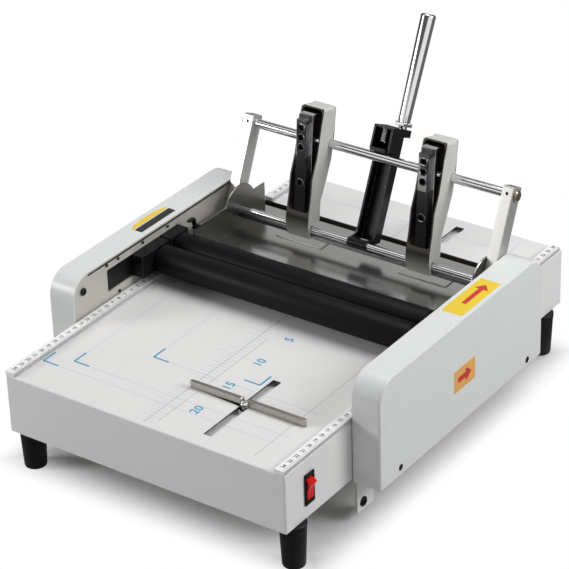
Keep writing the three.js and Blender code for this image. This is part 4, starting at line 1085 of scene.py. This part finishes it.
# The lever's spring: one plated steel wire, wound in open coils. It stands between the
# channel's roof and the saddle, and presses the saddle down on the upper rod.
spring_curve = bpy.data.curves.new("spring_wire", "CURVE")
spring_curve.dimensions = "3D"
spring_curve.bevel_depth = 0.0005
spring_curve.bevel_resolution = 3
spring_curve.use_fill_caps = True
spring_low = 0.1066
spring_high = 0.1207
spring_turns = 8.5
spring_radius = 0.0024
spring_y = 0.0022
spring_steps = 24
wire = spring_curve.splines.new("POLY")
count = int(spring_turns * spring_steps) + 1
wire.points.add(count - 1)
for step in range(count):
    turn = 2 * math.pi * step / spring_steps
    rise = spring_low + (spring_high - spring_low) * step / (count - 1)
    across, forward = spring_radius * math.cos(turn), spring_radius * math.sin(turn)
    place = lever_place @ Vector((across, spring_y + forward, rise))
    wire.points[step].co = (*place, 1)
spring_piece = placed("lever_spring_wire", mesh_of_curve(spring_curve))
smooth_shaded(spring_piece)
dressed(spring_piece, arm_steel, "press_frame", "lever_spring", slot="chrome")


# Stapler heads: a folded grey casing round a black magazine with a bright rail up its back.
# The heads slide along the lower rod, and the casings swing about it with the press.
head_paint = grainy_paint("head_paint", (0.64, 0.64, 0.615), 0.42, 800, 0.00008)
magazine_black = grainy_paint("magazine_black", (0.019, 0.019, 0.021), 0.22, 1000, 0.00001, 0.1)
# Near-black brown for the casing's inner faces and the floor above its chin: painted shade in the
# hollow.
casing_inside = grainy_paint("casing_inside", (0.045, 0.034, 0.028), 0.5, 800, 0.00008, 0.2)
# The chin paint darkens by height towards the top of the chin: painted shade, not a change in the
# paint.
chin_shaded_paint = grainy_paint("chin_shaded_paint", (0.60, 0.585, 0.52), 0.4, 800, 0.00006)
chin_tree = chin_shaded_paint.node_tree
chin_body = chin_tree.nodes["Principled BSDF"]
chin_coat = chin_body.inputs["Base Color"].links[0].from_socket
chin_place = add_node(chin_tree, "TexCoord", {}).outputs["Object"]
chin_height = add_node(chin_tree, "SeparateXYZ", {0: chin_place}).outputs["Z"]
chin_painted_shade = ranged(chin_tree, chin_height, 0.62, 0.03, table_top + 0.008, table_top + 0.034)
chin_shaded_tone = colour_mix(chin_tree, 1, chin_coat, chin_painted_shade, "MULTIPLY")
fill(chin_tree, chin_body, {"Base Color": chin_shaded_tone})
channel_steel = brushed_metal(
    "channel_steel", (0.50, 0.49, 0.475), 0.34, (500, 500, 30), 0.00001, 0.08,
)
# Bright steel for the rings round the magazine's holes, and painted highlights on its rounded
# edges.
ring_and_edge_highlight_steel = brushed_metal("ring_and_edge_highlight_steel", (0.86, 0.86, 0.85), 0.42, (300, 300, 300), 0.00001, 0.08)
magazine_lean = math.atan2(0.0087, 0.099)
magazine_height = 0.0994
steel_from = 0.60 * magazine_height
cap_from = 0.955 * magazine_height
hole_radius = 0.0032
crown_round = 0.0034
casing_skin = 0.0005
shoulder_height = 0.02
hole_levels = [share * magazine_height for share in (0.313, 0.703, 0.81, 0.918)]
chin_height_above = 0.03
chin_fold = 0.02
for side_name in sides:
    node = f"head_casing_{side_name}"
    casing = finished(node, 0.0006, head_paint, f"casing_{side_name}", 3)
    casing_low, casing_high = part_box(node)
    middle_x = middle_of(node).x
    hollow = (casing_high.x - casing_low.x) / 2 - casing_skin
    shoulder_low = casing_high.z - shoulder_height
    crown = bmesh.new()
    crown.from_mesh(casing.data)
    shoulders = [
        edge for edge in crown.edges
        if all(abs(v.co.x - middle_x) > hollow and v.co.z > shoulder_low for v in edge.verts)
        and edge.calc_face_angle(0) > 1 and any(f.normal.z > 0.7 for f in edge.link_faces)
    ]
    round_off(crown, shoulders, crown_round, 6)
    crown.to_mesh(casing.data)
    crown.free()
    chin = casing_low.z + chin_height_above

    def is_within(centre):
        return abs(centre.x - middle_x) < hollow

    def is_inside(centre, normal):
        downward = normal.z < -0.7 and normal.y < 0.4
        facing_in = abs(normal.x) > 0.9 or normal.y < -0.2 or downward
        return is_within(centre) and facing_in and centre.z > chin

    def is_chin_floor(centre, normal):
        return normal.z > 0.5 and is_within(centre) and centre.z < chin + chin_fold

    # Faces in the hollow and on the floor above the chin take the painted shade.
    other_faces(casing, casing_inside, is_inside)
    # The chin's front faces take the chin paint with its painted shade.
    other_faces(casing, chin_shaded_paint, lambda centre, normal: normal.y < -0.7 and centre.z < chin)
    other_faces(casing, casing_inside, is_chin_floor)
    magazine = refined(f"magazine_{side_name}", 0.0005)
    magazine_foot = (middle_x, fold_line + 0.1133, table_top + 0.041)
    magazine_frame = leaning_place(magazine_foot, magazine_lean)
    to_magazine = magazine_frame.inverted()
    magazine_up = magazine_frame.to_3x3() @ Vector((0, 0, 1))
    cut = bmesh.new()
    cut.from_mesh(magazine.data)
    for level in (steel_from, cap_from):
        sliced(cut, magazine_frame @ Vector((0, 0, level)), magazine_up)
    cut.to_mesh(magazine.data)
    cut.free()
    head = f"head_{side_name}"
    dressed(magazine, magazine_black, head, f"magazine_{side_name}", slot="black_steel")

    def from_hole(local):
        return min(math.hypot(local.x, local.z - level) for level in hole_levels)

    def is_above(level):
        def chosen(centre, normal):
            local = to_magazine @ centre
            return local.z > level and from_hole(local) > hole_radius
        return chosen

    def is_ring(centre, normal):
        local = to_magazine @ centre
        return local.y < -0.0002 and from_hole(local) > 0.97 * hole_radius

    other_faces(magazine, channel_steel, is_above(steel_from))
    other_faces(magazine, dark_steel, is_above(cap_from))
    other_faces(magazine, ring_and_edge_highlight_steel, is_ring)
    # Every rounded edge of the magazine takes the bright ring steel as well: painted highlights.
    magazine.modifiers["edge"].material = 3
    finished(f"magazine_rail_{side_name}", 0.0004, chrome, head)


# Paper stop: a plated channel laid across the front table, held in its slot by one slotted
# screw with a washer. The small black bracket beside the rear roller senses the paper.
stop_steel = brushed_metal("stop_steel", (0.42, 0.40, 0.37), 0.30, (25, 700, 700), 0.00001)
finished("paper_stop", 0.0003, stop_steel, "paper_stop", slot="stainless")
finished("stop_screw", 0.0003, chrome, "stop_screw")
finished("paper_sensor", 0.0003, black_steel, "base")


# Mains switch and inlet: a red rocker in a black moulded frame on the right wall, and a
# recessed three-pin inlet in the rear wall.
red_plastic = moulded_plastic("red_plastic", (0.72, 0.012, 0.010), 0.12, 400, 0.00001)
finished("switch_rocker", 0.0004, red_plastic, "switch_rocker", 3)
finished("switch_bezel", 0.0005, black_plastic, "base", 3)
finished("power_inlet", 0.0004, black_plastic, "base")
